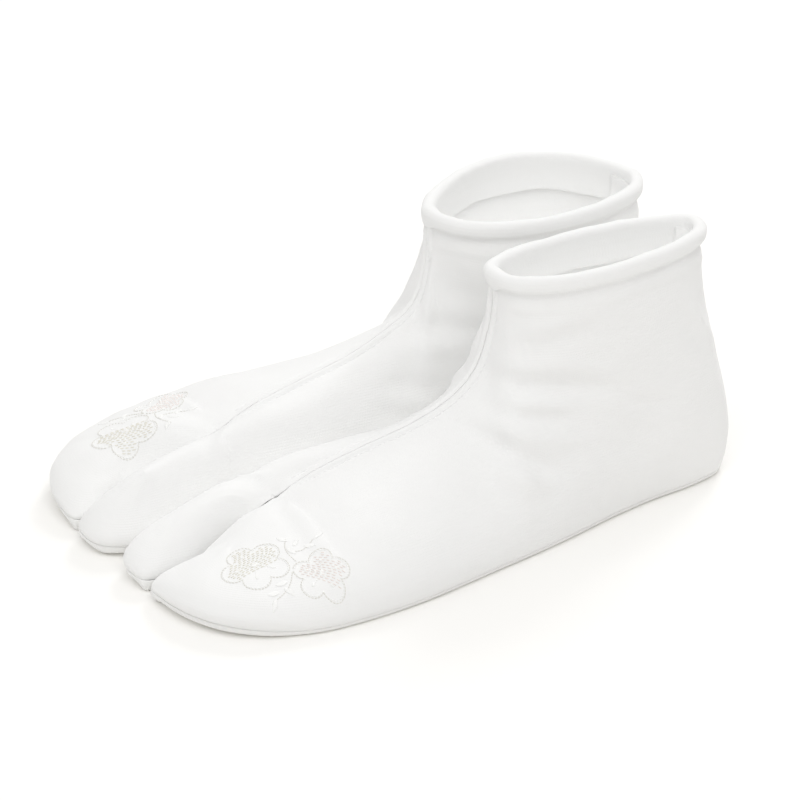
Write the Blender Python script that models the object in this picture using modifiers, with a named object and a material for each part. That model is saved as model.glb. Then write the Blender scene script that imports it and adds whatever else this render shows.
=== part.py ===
"""A pair of ankle-high stretch tabi socks, filled out and standing side by side.

Each sock is cut and sewn from a sole, an outer upper over the four toes, an inner
upper over the big toe, a turned hem round the collar and a strip that covers the
back seam. The toes point to -Y, the wearer's left sock is at +X, and the soles
rest on Z = 0. Every piece is a hollow cloth wall worked out from ribs: curves
that rise from the edge of the sole to the collar, to the centre front seam or to
the crest of a toe.
"""

from collections import namedtuple
from math import cos, pi, radians, sin

import bmesh
import bpy
import numpy as np

MM = 0.001

# Cloth and seams, in millimetres
CLOTH = 1.6            # wall of a sole or an upper
HEM_CLOTH = 1.2        # wall of the turned hem
SEAM_GAP = 0.3         # clear space between pieces that are sewn together
SOLE_EDGE = 2.4        # height at which the sole's turned-up edge meets an upper
SEAM_EASE = 0.4        # how far each upper stays from the middle of a seam they share
SEAM_BAND = 2.6        # half width of the raised, level band along the centre front seam
SEAM_RAISE = 0.7       # how far that band stands proud
BAND_SLOPE = 1.0       # width of the slope beside the band
BAND_SPREAD = 0.3      # how much of the raise may push the band sideways
BAND_START = 1.05      # the band begins here on a rib's scale of tops
BAND_RAMP = 0.12       # and takes this much of that scale to reach its full form

# Sole, in millimetres
SOLE_TURN = 3.4        # how far its turned edge reaches in under the sock
TOE_TURN = 4.0         # how much further it does so under the toes
SOLE_LIP = 1.0         # upright strip at the top of the turned edge
UPPER_LIP = 1.0        # upright strip at the foot of an upper, so the two meet squarely
TOE_SPRING = 1.6       # how much higher the sole's edge is at the tips of the toes
TOE_SPRING_START = 195.0
TOE_SPRING_RUN = 35.0

# Collar, in millimetres
COLLAR_BACK_Z = 94.0
LIP_DEPTH = 3.2        # outer lip of the rolled hem
LIP_TAPER = 0.6        # rounding of its lower corner
FACING_DEPTH = 12.0    # inner side of the hem
ROLL_HEIGHT = 2.4      # from the cloth's edge to the top of the roll
ROLL_SHOULDER = 0.4    # depth below that edge at which the roll begins
HEM_EASE = 0.6         # clear space between the hem and the wall it folds over
HEM_EDGE_GAP = 0.5     # clear space above the wall's edge
STRIP_CLOTH = 1.0      # strip that covers the back seam
STRIP_TOP = 1.5        # depth of its upper end below the cloth's edge
STRIP_DEPTH = 34.0     # depth of its lower end

Rib = namedtuple("Rib", "sole_x sole_y top rise flare reach lift")
# sole_x, sole_y: where the rib leaves the sole, forward of the heel and outward
# top: where it ends: 0-1 collar from back to front, 1-2 centre front seam from
#      the collar to the toe slit, 2-3 crest of the toe from the slit to its end
# rise, flare: how far it first climbs and how far it leans outward
# reach, lift: how far it runs level, and how far it climbs, from its upper end

OUTER_RIBS = [
    Rib(0.0, 0.0, 0.00, 26.0, 8.0, -4.0, -36.0),
    Rib(1.2, 6.5, 0.07, 26.0, 8.0, -3.0, -36.0),
    Rib(8.0, 13.0, 0.20, 26.0, 8.0, -1.0, -36.0),
    Rib(22.0, 17.2, 0.38, 26.0, 8.0, 0.0, -34.0),
    Rib(39.0, 19.8, 0.56, 26.0, 8.0, 0.0, -34.0),
    Rib(58.0, 24.5, 0.75, 26.0, 7.0, 1.0, -34.0),
    Rib(76.0, 30.2, 0.90, 25.0, 6.0, 4.0, -32.0),
    Rib(91.0, 34.5, 1.00, 24.0, 5.0, 7.0, -26.0),
    Rib(103.0, 37.6, 1.22, 20.0, 5.0, 9.0, -15.0),
    Rib(114.0, 40.2, 1.42, 18.0, 5.0, 12.0, -9.0),
    Rib(130.0, 44.2, 1.62, 17.0, 5.0, 19.0, -2.0),
    Rib(148.0, 48.4, 1.78, 17.0, 5.0, 23.0, 3.0),
    Rib(166.0, 51.0, 1.90, 17.0, 4.5, 24.0, 8.5),
    Rib(180.0, 51.8, 2.00, 17.0, 4.0, 24.0, 13.0),
    Rib(191.0, 51.3, 2.30, 14.0, 3.5, 20.0, 0.5),
    Rib(202.0, 49.0, 2.60, 10.0, 3.0, 14.0, -0.5),
    Rib(213.0, 44.0, 2.85, 8.0, 2.5, 11.0, -1.0),
    Rib(223.0, 34.8, 3.00, 5.0, 2.0, 8.0, -1.0),
    Rib(229.0, 21.5, 3.00, 5.0, 1.5, 8.0, -0.5),
    Rib(231.0, 6.5, 3.00, 4.5, 1.2, 7.0, -1.5),
    Rib(228.5, -4.6, 3.00, 5.0, 0.8, 7.0, -2.5),
    Rib(215.0, -6.4, 2.85, 6.0, 0.4, 7.0, -2.5),
    Rib(205.0, -8.4, 2.60, 13.0, 0.4, 8.0, -2.0),
    Rib(197.0, -9.4, 2.30, 16.0, 0.2, 9.0, -2.0),
    Rib(190.0, -10.3, 2.00, 13.0, 0.0, 7.0, -1.5),
]

INNER_RIBS = [
    Rib(0.0, 0.0, 0.00, 26.0, 8.0, -4.0, -36.0),
    Rib(1.2, -6.5, 0.07, 26.0, 8.0, -3.0, -36.0),
    Rib(8.0, -14.0, 0.20, 26.0, 6.0, -1.0, -36.0),
    Rib(22.0, -19.5, 0.38, 26.0, 3.0, 0.0, -34.0),
    Rib(39.0, -21.5, 0.56, 25.0, 3.0, 0.0, -34.0),
    Rib(58.0, -22.0, 0.75, 24.0, 3.0, 1.0, -34.0),
    Rib(76.0, -22.5, 0.90, 24.0, 3.0, 4.0, -32.0),
    Rib(91.0, -24.0, 1.00, 24.0, 3.0, 7.0, -26.0),
    Rib(103.0, -25.5, 1.22, 22.0, 3.0, 8.0, -14.0),
    Rib(114.0, -27.0, 1.42, 20.0, 3.0, 10.0, -8.0),
    Rib(130.0, -29.5, 1.62, 18.0, 3.0, 11.0, -3.0),
    Rib(148.0, -32.0, 1.78, 17.0, 3.0, 14.0, 5.0),
    Rib(166.0, -33.6, 1.90, 16.0, 2.5, 14.0, 9.0),
    Rib(180.0, -33.8, 2.00, 15.0, 2.0, 14.0, 15.0),
    Rib(191.0, -34.2, 2.30, 12.0, 2.0, 9.0, 1.0),
    Rib(202.0, -34.6, 2.60, 9.0, 1.6, 7.0, -1.0),
    Rib(213.0, -34.8, 2.85, 6.0, 1.3, 6.0, -1.5),
    Rib(222.5, -33.0, 3.00, 3.0, 1.3, 6.0, -2.5),
    Rib(228.8, -27.0, 3.00, 3.0, 1.3, 6.0, -2.5),
    Rib(230.8, -18.5, 3.00, 5.0, 1.2, 7.0, -1.5),
    Rib(227.8, -9.4, 3.00, 6.0, 0.8, 7.0, -1.0),
    Rib(215.0, -8.5, 2.85, 10.0, 0.4, 8.0, 0.0),
    Rib(205.0, -9.8, 2.60, 16.0, 0.4, 8.0, 0.0),
    Rib(197.0, -10.6, 2.30, 18.0, 0.2, 8.0, -1.0),
    Rib(190.0, -10.3, 2.00, 13.0, 0.0, 7.0, -1.5),
]

# Centre front seam from the collar down to the toe slit, evenly numbered from 1 to 2
SeamPoint = namedtuple("SeamPoint", "y left_x left_z right_x right_z")
FRONT_SEAM = [
    SeamPoint(0.0, 94.5, 92.5, 90.5, 93.0),
    SeamPoint(-1.0, 93.6, 82.0, 90.8, 83.0),
    SeamPoint(-2.0, 95.0, 70.5, 92.5, 71.5),
    SeamPoint(-3.0, 99.5, 57.0, 97.5, 60.0),
    SeamPoint(-4.0, 109.0, 47.5, 108.5, 52.5),
    SeamPoint(-5.5, 124.0, 40.5, 124.0, 45.5),
    SeamPoint(-7.5, 144.0, 35.0, 144.0, 40.0),
    SeamPoint(-9.0, 162.0, 29.5, 162.0, 34.5),
    SeamPoint(-10.3, 178.0, 20.5, 178.0, 27.0),
]

# Crest of each toe from the slit to its end, evenly numbered from 2 to 3
CrestPoint = namedtuple("CrestPoint", "x y left_z right_z")
OUTER_CREST = [
    CrestPoint(178.0, -10.3, 20.5, 27.0),
    CrestPoint(186.0, 0.0, 24.5, 29.5),
    CrestPoint(195.0, 6.0, 23.5, 28.0),
    CrestPoint(204.0, 9.0, 20.0, 24.5),
]
INNER_CREST = [
    CrestPoint(178.0, -10.3, 20.5, 27.0),
    CrestPoint(186.0, -18.0, 29.0, 30.0),
    CrestPoint(196.0, -21.5, 26.0, 28.0),
    CrestPoint(207.0, -23.0, 21.5, 26.5),
]

# How each sock stands, how far its collar has spread to either side and how its toes lie
Sock = namedtuple("Sock", "name mirror heel_x heel_y yaw back_x outer inner toes")
Spread = namedtuple("Spread", "width skew bluntness")
Toes = namedtuple("Toes", "sway outer_longer outer_wider inner_longer inner_wider")
# heel_x, heel_y, back_x: the heel's place and how far forward of it the collar begins
# width, skew, bluntness: reach of the collar's bow, its lean to the front, its roundness
# sway: how far the tips lie to the outer side; longer, wider: against the tables above
SOCKS = [
    Sock("left", 1, 0.0, 0.0, 3.5, 9.6,
         Spread(20.0, 0.20, 0.78), Spread(14.0, 0.05, 0.78), Toes(0.0, 0.0, 0.0, -0.5, -0.10)),
    Sock("right", -1, -48.2, 1.8, -3.7, 8.8,
         Spread(34.0, -0.20, 1.4), Spread(27.0, 0.18, 0.9), Toes(-8.0, 2.0, -0.08, 3.0, 0.0)),
]
TOES_START = 185.0     # the ball of the foot, past which the toes differ
TOES_RUN = 45.0
SLIT_Y = -9.0          # middle of the toe slit

# Large folds: troughs have a positive depth and ridges a negative one
Fold = namedtuple("Fold", "sock side start_x start_z end_x end_z half_width depth")
FOLDS = [
    Fold("left", 1, 102.0, 60.0, 66.0, 58.0, 5.0, 2.0),
    Fold("left", 1, 72.0, 57.0, 42.0, 50.0, 6.0, 1.0),
    Fold("left", 1, 108.0, 48.5, 64.0, 45.0, 4.5, -1.3),
    Fold("left", 1, 110.0, 43.0, 76.0, 28.0, 5.5, 2.0),
    Fold("left", 1, 110.0, 35.0, 90.0, 24.0, 6.0, -1.0),
    Fold("left", 1, 92.0, 75.0, 62.0, 84.0, 5.0, -0.8),
    Fold("left", 1, 60.0, 34.0, 34.0, 30.0, 7.0, 0.8),
    Fold("left", -1, 100.0, 55.0, 76.0, 53.0, 5.0, 1.4),
    Fold("left", -1, 110.0, 36.0, 88.0, 33.0, 5.0, 1.2),
    Fold("left", -1, 60.0, 50.0, 36.0, 44.0, 7.0, 0.8),
    Fold("right", 1, 94.0, 58.0, 62.0, 55.0, 6.0, 1.3),
    Fold("right", 1, 100.0, 40.0, 72.0, 30.0, 6.0, 1.5),
    Fold("right", 1, 58.0, 38.0, 34.0, 32.0, 7.0, 0.8),
    Fold("right", -1, 104.0, 56.0, 80.0, 54.5, 5.0, 1.6),
    Fold("right", -1, 108.0, 47.0, 84.0, 44.0, 5.0, -1.0),
    Fold("right", -1, 116.0, 38.0, 92.0, 34.0, 5.0, 1.4),
    Fold("right", -1, 122.0, 30.0, 104.0, 26.0, 5.0, 1.0),
    Fold("right", -1, 96.0, 68.0, 62.0, 64.0, 6.0, 0.9),
]

FOLD_FADE = 9.0        # distance over which folds die out at a seam
FOLD_FLOOR = 0.4       # they begin this much of that distance above the ground
FOLD_BLUNTNESS = 2.2   # how suddenly a fold ends along its length

# Fineness of the walls
STEPS_BETWEEN_RIBS = 2
CURVE_STEPS = 201
ROWS_UP_A_RIB = (0.0, 0.14, 0.27, 0.38, 0.47, 0.55, 0.63, 0.72, 0.84, 1.0)
SOLE_TURN_ROWS = 3
HEM_ROLL_STEPS = 6
STRIP_STATIONS = 3     # columns of the back strip on either side of the seam

COLLECTION = "tabi_socks"
WELD = 1e-7
TINY = 1e-9


def spline(rows, at, monotone=False):
    """Smooth curve through evenly numbered rows, read at the numbers in at."""
    rows = np.asarray(rows, float)
    steps = np.diff(rows, axis=0)
    slopes = np.empty_like(rows)
    slopes[0], slopes[-1] = steps[0], steps[-1]
    slopes[1:-1] = (steps[:-1] + steps[1:]) / 2
    if monotone:
        product = steps[:-1] * steps[1:]
        total = steps[:-1] + steps[1:]
        total = np.where(product > 0, total, 1.0)
        slopes[1:-1] = np.where(product > 0, 2 * product / total, 0.0)
    at = np.clip(np.asarray(at, float), 0, len(rows) - 1)
    first = np.minimum(at.astype(int), len(rows) - 2)
    t = (at - first)[:, None]
    start, end = rows[first], rows[first + 1]
    rise = (2 * t**3 - 3 * t**2 + 1) * start + (3 * t**2 - 2 * t**3) * end
    return rise + (t**3 - 2 * t**2 + t) * slopes[first] + (t**3 - t**2) * slopes[first + 1]


def smooth_step(value):
    value = np.clip(value, 0.0, 1.0)
    return value * value * (3 - 2 * value)


def sole_edge_height(x):
    """The sole's edge climbs a little under the toes."""
    return SOLE_EDGE + TOE_SPRING * smooth_step((x - TOE_SPRING_START) / TOE_SPRING_RUN)


def pose_toes(sock, side, points):
    """Points past the ball of the foot, moved sideways and drawn out as the sock's toes lie."""
    points = np.array(points, float)
    far = smooth_step((points[:, 0] - TOES_START) / TOES_RUN)
    toes = sock.toes
    longer = toes.outer_longer if side > 0 else toes.inner_longer
    wider = toes.outer_wider if side > 0 else toes.inner_wider
    points[:, 0] += longer * far
    points[:, 1] += (wider * (points[:, 1] - SLIT_Y) + toes.sway) * far
    return points


def top_line(sock, side, top):
    """Points where the ribs end: on the collar, the front seam or a toe's crest."""
    forward, height = sock.name + "_x", sock.name + "_z"
    seam = [(getattr(p, forward), p.y, getattr(p, height)) for p in FRONT_SEAM]
    crest = [(p.x, p.y, getattr(p, height)) for p in (OUTER_CREST if side > 0 else INNER_CREST)]
    spread = sock.outer if side > 0 else sock.inner
    front_x, front_y, front_z = seam[0]
    turn = np.clip(top, 0, 1) * pi
    along = (1 - np.cos(turn)) / 2
    bow = np.sin(turn) ** spread.bluntness * (1 - spread.skew * np.cos(turn))
    collar = np.stack([
        sock.back_x + (front_x - sock.back_x) * along,
        front_y * along + side * spread.width * bow,
        COLLAR_BACK_Z + (front_z - COLLAR_BACK_Z) * along,
    ], axis=1)
    on_seam = spline(seam, (top - 1) * (len(seam) - 1))
    on_crest = pose_toes(sock, side, spline(crest, (top - 2) * (len(crest) - 1)))
    column = top[:, None]
    return np.where(column <= 1, collar, np.where(column <= 2, on_seam, on_crest))


class Panel:
    """The smooth outer skin of one upper, as a grid of points along its ribs."""

    def __init__(self, sock, side, steps, rows):
        self.sock, self.side = sock, side
        table = OUTER_RIBS if side > 0 else INNER_RIBS
        at = np.linspace(0, len(table) - 1, (len(table) - 1) * steps + 1)
        sole = pose_toes(sock, side, spline([(r.sole_x, r.sole_y) for r in table], at))
        rise, flare, reach, lift = spline([r[3:] for r in table], at, monotone=True).T
        self.top = np.interp(at, np.arange(len(table)), [r.top for r in table])
        self.sole = sole
        from_collar = smooth_step((self.top - BAND_START) / BAND_RAMP)
        self.on_seam = from_collar * smooth_step((2 - self.top) / BAND_RAMP)
        self.corners = self.rib_corners(rise, flare, reach, lift)
        self.distances, self.points = self.walk_ribs(rows)

    def rib_corners(self, rise, flare, reach, lift):
        """The four control points of every rib."""
        along = np.gradient(self.sole, axis=0)
        along[0] = (0, self.side)
        outward = np.stack([-along[:, 1], along[:, 0]], axis=1) * self.side
        outward /= np.linalg.norm(outward, axis=1)[:, None]
        foot = np.column_stack([self.sole, sole_edge_height(self.sole[:, 0]) + SEAM_GAP])
        head = self.band_edge()
        inward = foot[:, :2] - head[:, :2]
        inward /= np.maximum(np.linalg.norm(inward, axis=1), TINY)[:, None]
        knee = foot + np.column_stack([outward * flare[:, None], rise])
        hip = head + np.column_stack([inward * reach[:, None], lift])
        return foot, knee, hip, head

    def band_edge(self):
        """Upper ends of the ribs: beside the level band of the front seam, where there is one."""
        edge = top_line(self.sock, self.side, self.top)
        edge[:, 1] += self.side * SEAM_BAND * self.on_seam
        return edge

    def walk_ribs(self, rows):
        """Points on each rib at even distances, with the seam band's rows at its end."""
        fine = np.linspace(0, 1, CURVE_STEPS)[None, :, None]
        foot, knee, hip, head = (c[:, None, :] for c in self.corners)
        curve = (1 - fine)**3 * foot + 3 * (1 - fine)**2 * fine * knee
        curve = curve + 3 * (1 - fine) * fine**2 * hip + fine**3 * head
        step = np.linalg.norm(np.diff(curve, axis=1), axis=2)
        walked = np.column_stack([np.zeros(len(step)), np.cumsum(step, axis=1)])
        length = walked[:, -1:]
        band = length - SEAM_BAND * (1 - self.on_seam[:, None])
        open_cloth = band - UPPER_LIP - BAND_SLOPE
        below = UPPER_LIP + open_cloth * np.asarray(rows)[None, :]
        stops = np.hstack([0 * length, below, band, length])
        points = np.empty(stops.shape + (3,))
        for rib in range(len(stops)):
            for axis in range(3):
                points[rib, :, axis] = np.interp(stops[rib], walked[rib], curve[rib, :, axis])
        points[:, -1] = top_line(self.sock, self.side, self.top)
        points[:, :, 1] += self.side * SEAM_EASE
        distances = band - stops + SEAM_BAND
        distances[:, -1] = 0.0
        return distances, points

    def normals(self):
        """Outward unit normals at the grid points."""
        along = np.gradient(self.points, axis=0)
        up = np.gradient(self.points, axis=1)
        out = np.cross(along, up) * -self.side
        return out / np.maximum(np.linalg.norm(out, axis=2), TINY)[:, :, None]

    def formed(self):
        """The grid with the seam band raised and the large folds pressed in."""
        out = self.normals()
        raised = (self.distances <= SEAM_BAND + TINY) * SEAM_RAISE * self.on_seam[:, None]
        level = out.copy()
        level[:, :, 1] *= BAND_SPREAD
        level /= np.maximum(np.linalg.norm(level, axis=2), TINY)[:, :, None]
        points = self.points + level * raised[:, :, None]
        depth = self.fold_depth() * self.fold_room()
        return points - out * depth[:, :, None]

    def fold_room(self):
        """One over the open cloth, fading to nothing at the seams and the collar."""
        low = smooth_step(self.points[:, :, 2] / FOLD_FADE - FOLD_FLOOR)
        high = smooth_step((self.distances - LIP_DEPTH) / FOLD_FADE)
        from_back = np.arange(len(self.top))[:, None] / STEPS_BETWEEN_RIBS
        return low * high * smooth_step(from_back / 2)

    def fold_depth(self):
        depth = np.zeros(self.points.shape[:2])
        x, z = self.points[:, :, 0], self.points[:, :, 2]
        for fold in FOLDS:
            if (fold.sock, fold.side) != (self.sock.name, self.side):
                continue
            run_x, run_z = fold.end_x - fold.start_x, fold.end_z - fold.start_z
            length = np.hypot(run_x, run_z)
            along = ((x - fold.start_x) * run_x + (z - fold.start_z) * run_z) / length**2
            across = ((z - fold.start_z) * run_x - (x - fold.start_x) * run_z) / length
            taper = np.exp(-(FOLD_BLUNTNESS * (along - 0.5))**4)
            depth += fold.depth * taper * np.exp(-(across / fold.half_width)**2)
        return depth


def new_material(name, color, roughness):
    material = bpy.data.materials.new(name)
    material.use_nodes = True
    shader = material.node_tree.nodes["Principled BSDF"]
    shader.inputs["Base Color"].default_value = color + (1.0,)
    shader.inputs["Roughness"].default_value = roughness
    shader.inputs["Metallic"].default_value = 0.0
    return material


def to_frame(sock, points):
    """From forward, outward and up, in millimetres, to the sock's own axes in metres."""
    points = np.asarray(points, float).reshape(-1, 3)
    return np.column_stack([points[:, 1] * sock.mirror, -points[:, 0], points[:, 2]]) * MM


def grid_faces(columns, rows, closed=False):
    """Quads of a grid whose points are numbered column by column."""
    faces = []
    for column in range(columns if closed else columns - 1):
        beside = (column + 1) % columns
        for row in range(rows - 1):
            start, far = column * rows + row, beside * rows + row
            faces.append((start, far, far + 1, start + 1))
    return faces


def add_mesh(sock, name, points, faces, flip, material):
    """A welded mesh object under the sock's empty, with its faces turned as asked."""
    mesh = bpy.data.meshes.new(name)
    mesh.from_pydata(to_frame(sock, points).tolist(), [], faces)
    work = bmesh.new()
    work.from_mesh(mesh)
    bmesh.ops.remove_doubles(work, verts=work.verts, dist=WELD)
    if flip:
        bmesh.ops.reverse_faces(work, faces=work.faces)
    work.to_mesh(mesh)
    work.free()
    mesh.shade_smooth()
    mesh.materials.append(material)
    piece = bpy.data.objects.new(name, mesh)
    bpy.data.collections[COLLECTION].objects.link(piece)
    piece.parent = bpy.data.objects[sock.name + "_sock"]
    return piece


def thicken(piece, thickness):
    wall = piece.modifiers.new("Cloth", "SOLIDIFY")
    wall.thickness = thickness * MM
    wall.offset = -1.0


def make_upper(sock, panel, name, material):
    points = panel.formed()
    columns, rows = points.shape[:2]
    faces = grid_faces(columns, rows)
    piece = add_mesh(sock, name, points, faces, panel.side * sock.mirror > 0, material)
    thicken(piece, CLOTH)


def inset_outline(outline, amount):
    """The closed outline moved inward by an amount for each point."""
    ahead = np.roll(outline, -1, axis=0) - outline
    behind = outline - np.roll(outline, 1, axis=0)
    ahead /= np.linalg.norm(ahead, axis=1)[:, None]
    behind /= np.linalg.norm(behind, axis=1)[:, None]
    along = ahead + behind
    along /= np.linalg.norm(along, axis=1)[:, None]
    inward = np.stack([along[:, 1], -along[:, 0]], axis=1)
    return outline + inward * np.reshape(amount, (-1, 1))


def make_sole(sock, panels, material):
    """A flat sole whose edge turns up all round and into the toe slit."""
    outer, inner = (panel.sole for panel in panels)
    outline = np.vstack([outer, inner[-2:0:-1]])
    edge = sole_edge_height(outline[:, 0])
    turn_in = SOLE_TURN + TOE_TURN * smooth_step((outline[:, 0] - TOE_SPRING_START) / TOE_SPRING_RUN)
    rings = []
    for angle in np.linspace(0, 90, SOLE_TURN_ROWS):
        ring = inset_outline(outline, turn_in * (1 - sin(radians(angle))))
        rings.append(np.column_stack([ring, (edge - SOLE_LIP) * (1 - cos(radians(angle)))]))
    rings.append(np.column_stack([outline, edge]))
    points = np.stack(rings, axis=1)
    columns, rows = points.shape[:2]
    faces = grid_faces(columns, rows, closed=True)
    faces.append(tuple(column * rows for column in reversed(range(columns))))
    piece = add_mesh(sock, sock.name + "_sole", points, faces, sock.mirror > 0, material)
    thicken(piece, CLOTH)


def collar_line(panels, depth):
    """The closed line of skin points a given depth below the collar, and its outward normals."""
    lines = []
    for panel in panels:
        on_collar = panel.top <= 1.0
        line = []
        for distances, points in zip(panel.distances[on_collar], panel.points[on_collar]):
            line.append([np.interp(depth, distances[::-1], points[::-1, axis]) for axis in range(3)])
        lines.append(np.array(line))
    outer, inner = lines
    front = (outer[-1] + inner[-1]) / 2
    back = (outer[0] + inner[0]) / 2
    loop = np.vstack([back, outer[1:-1], front, inner[-2:0:-1]])
    along = np.roll(loop, -1, axis=0) - np.roll(loop, 1, axis=0)
    out = np.stack([-along[:, 1], along[:, 0]], axis=1)
    out /= np.linalg.norm(out, axis=1)[:, None]
    return loop, np.column_stack([out, np.zeros(len(out))])


def swept_section(panels, section, stations=None):
    """Points of a closed section carried round the collar. Its rows are offset and depth."""
    rows = []
    for offset, depth in section:
        loop, out = collar_line(panels, max(depth, 0.0))
        row = loop + out * offset
        row[:, 2] += max(-depth, 0.0)
        rows.append(row if stations is None else row[stations])
    return np.stack(rows, axis=1)


def hem_section():
    """Outer lip, rolled top and inner facing, in one turn of cloth round the collar's edge."""
    inside = -(CLOTH + HEM_EASE)
    roll = [(inside - HEM_CLOTH, ROLL_SHOULDER)]
    middle = (inside + HEM_EASE) / 2
    half = middle - (inside - HEM_CLOTH)
    for angle in np.linspace(180, 0, HEM_ROLL_STEPS + 1)[1:-1]:
        roll.append((middle + half * cos(radians(angle)), -ROLL_HEIGHT * sin(radians(angle))))
    return [
        (HEM_EASE, LIP_DEPTH),
        (HEM_EASE, -HEM_EDGE_GAP),
        (inside, -HEM_EDGE_GAP),
        (inside, FACING_DEPTH),
        (inside - HEM_CLOTH, FACING_DEPTH),
    ] + roll + [
        (HEM_EASE + HEM_CLOTH, ROLL_SHOULDER),
        (HEM_EASE + HEM_CLOTH, LIP_DEPTH - LIP_TAPER),
        (HEM_EASE + HEM_CLOTH - LIP_TAPER, LIP_DEPTH),
    ]


def section_faces(columns, rows, closed):
    faces = []
    for column in range(columns if closed else columns - 1):
        beside = (column + 1) % columns
        for row in range(rows):
            above = (row + 1) % rows
            faces.append((column * rows + row, beside * rows + row,
                          beside * rows + above, column * rows + above))
    if not closed:
        faces.append(tuple(range(rows)))
        faces.append(tuple((columns - 1) * rows + row for row in reversed(range(rows))))
    return faces


def make_hem(sock, panels, material):
    points = swept_section(panels, hem_section())
    columns, rows = points.shape[:2]
    add_mesh(sock, sock.name + "_collar_hem", points, section_faces(columns, rows, True),
             sock.mirror < 0, material)


def make_back_strip(sock, panels, material):
    """The strip of seam allowance that covers the back seam inside the collar."""
    near = -(CLOTH + HEM_EASE + HEM_CLOTH + HEM_EASE)
    section = [(near, STRIP_TOP), (near, FACING_DEPTH), (near, STRIP_DEPTH)]
    section += [(near - STRIP_CLOTH, STRIP_DEPTH), (near - STRIP_CLOTH, FACING_DEPTH),
                (near - STRIP_CLOTH, STRIP_TOP)]
    count = len(collar_line(panels, 0.0)[0])
    stations = [index % count for index in range(-STRIP_STATIONS, STRIP_STATIONS + 1)]
    points = swept_section(panels, section, stations)
    columns, rows = points.shape[:2]
    add_mesh(sock, sock.name + "_back_strip", points, section_faces(columns, rows, False),
             sock.mirror < 0, material)


def stand_sock(sock):
    """An empty at the heel that places and turns the whole sock."""
    holder = bpy.data.objects.new(sock.name + "_sock", None)
    holder.location = (sock.heel_x * MM, sock.heel_y * MM, 0.0)
    holder.rotation_euler = (0.0, 0.0, radians(sock.yaw))
    bpy.data.collections[COLLECTION].objects.link(holder)


def make_sock(sock, knit, sole_cloth):
    stand_sock(sock)
    panels = [Panel(sock, side, STEPS_BETWEEN_RIBS, ROWS_UP_A_RIB) for side in (1, -1)]
    make_sole(sock, panels, sole_cloth)
    make_upper(sock, panels[0], sock.name + "_outer_upper", knit)
    make_upper(sock, panels[1], sock.name + "_inner_upper", knit)
    make_hem(sock, panels, knit)
    make_back_strip(sock, panels, knit)


def centre_on_origin():
    """Moves both socks so the origin is at the bottom centre of the pair's box."""
    bpy.context.view_layer.update()
    pieces = [item for item in bpy.data.objects if item.type == "MESH"]
    corners = np.array([item.matrix_world @ vertex.co for item in pieces for vertex in item.data.vertices])
    middle = (corners.min(axis=0) + corners.max(axis=0)) / 2
    for sock in SOCKS:
        holder = bpy.data.objects[sock.name + "_sock"]
        holder.location.x -= middle[0]
        holder.location.y -= middle[1]
    bpy.context.view_layer.update()


def main():
    for item in list(bpy.data.objects):
        bpy.data.objects.remove(item, do_unlink=True)
    bpy.context.scene.collection.children.link(bpy.data.collections.new(COLLECTION))
    knit = new_material("white_knit", (0.86, 0.86, 0.85), 0.9)
    sole_cloth = new_material("white_sole_cloth", (0.83, 0.83, 0.81), 0.9)
    for sock in SOCKS:
        make_sock(sock, knit, sole_cloth)
    centre_on_origin()


main()
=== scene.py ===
"""A pair of white stretch tabi socks with embroidered toes, as a Blender add-on.

Every size is a real one. The socks are worked out from the same ribs as the solids
that they cover: curves that rise from the edge of the sole to the collar, to the
centre front seam or to the crest of a toe.
"""

from collections import namedtuple
from math import cos, pi, radians, sin

import bmesh
import bpy
import numpy as np
from mathutils import Matrix, Vector
from mathutils.bvhtree import BVHTree


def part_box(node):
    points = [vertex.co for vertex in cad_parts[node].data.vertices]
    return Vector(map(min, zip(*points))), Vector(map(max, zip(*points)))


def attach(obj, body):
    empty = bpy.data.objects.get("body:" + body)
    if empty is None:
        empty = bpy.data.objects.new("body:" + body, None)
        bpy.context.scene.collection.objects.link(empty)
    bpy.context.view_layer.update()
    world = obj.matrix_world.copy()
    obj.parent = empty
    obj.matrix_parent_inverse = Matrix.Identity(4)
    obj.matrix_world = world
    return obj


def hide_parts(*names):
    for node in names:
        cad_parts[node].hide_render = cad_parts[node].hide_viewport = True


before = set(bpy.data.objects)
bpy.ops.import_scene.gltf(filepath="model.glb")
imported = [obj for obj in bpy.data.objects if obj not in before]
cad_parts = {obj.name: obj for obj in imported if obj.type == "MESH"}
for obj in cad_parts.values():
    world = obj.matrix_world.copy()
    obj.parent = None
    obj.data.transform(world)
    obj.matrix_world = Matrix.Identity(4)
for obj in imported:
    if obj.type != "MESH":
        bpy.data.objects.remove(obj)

bl_info = {
    "name": "Tabi Sock Pair",
    "version": (1, 0, 0),
    "blender": (4, 5, 0),
    "location": "3D View > Sidebar > Tabi",
    "description": "Makes a pair of filled-out stretch tabi socks with embroidered toes",
    "category": "Add Mesh",
}

MM = 0.001
BODY = "root"

# Seams and edges, in millimetres
SOLE_EDGE = 2.4        # height at which the sole's turned-up edge meets an upper
SEAM_GAP = 0.3         # the uppers begin this much higher
SEAM_BAND = 2.6        # half width of the raised band along the centre front seam
BAND_START = 1.05      # the band begins here on a rib's scale of tops
BAND_RAMP = 0.12       # and takes this much of that scale to reach its full form
SEAM_MEET = 0.08       # how far each upper's cut edge stays from the middle of a seam
SOLE_TUCK = 0.2        # how deep an upper's lower edge turns in
SLIT_TUCK = 0.1        # how deep its edge turns in beside the toe slit
SEAM_TUCK = 0.3        # how deep it turns in at the front and back seams
TUCK_WIDTH = 0.6       # how wide the turned edge is
SOLE_TURN = 3.4        # how far the sole's turned edge reaches in under the sock
TOE_TURN = 6.0         # how much further it does so under the toes
SOLE_ROUND = 0.4       # rounding of the sole's top edge where it dips into the seam
TOE_SPRING = 2.4       # how much higher the sole's edge is at the tips of the toes
TOE_SPRING_START = 195.0
TOE_SPRING_RUN = 35.0

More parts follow.
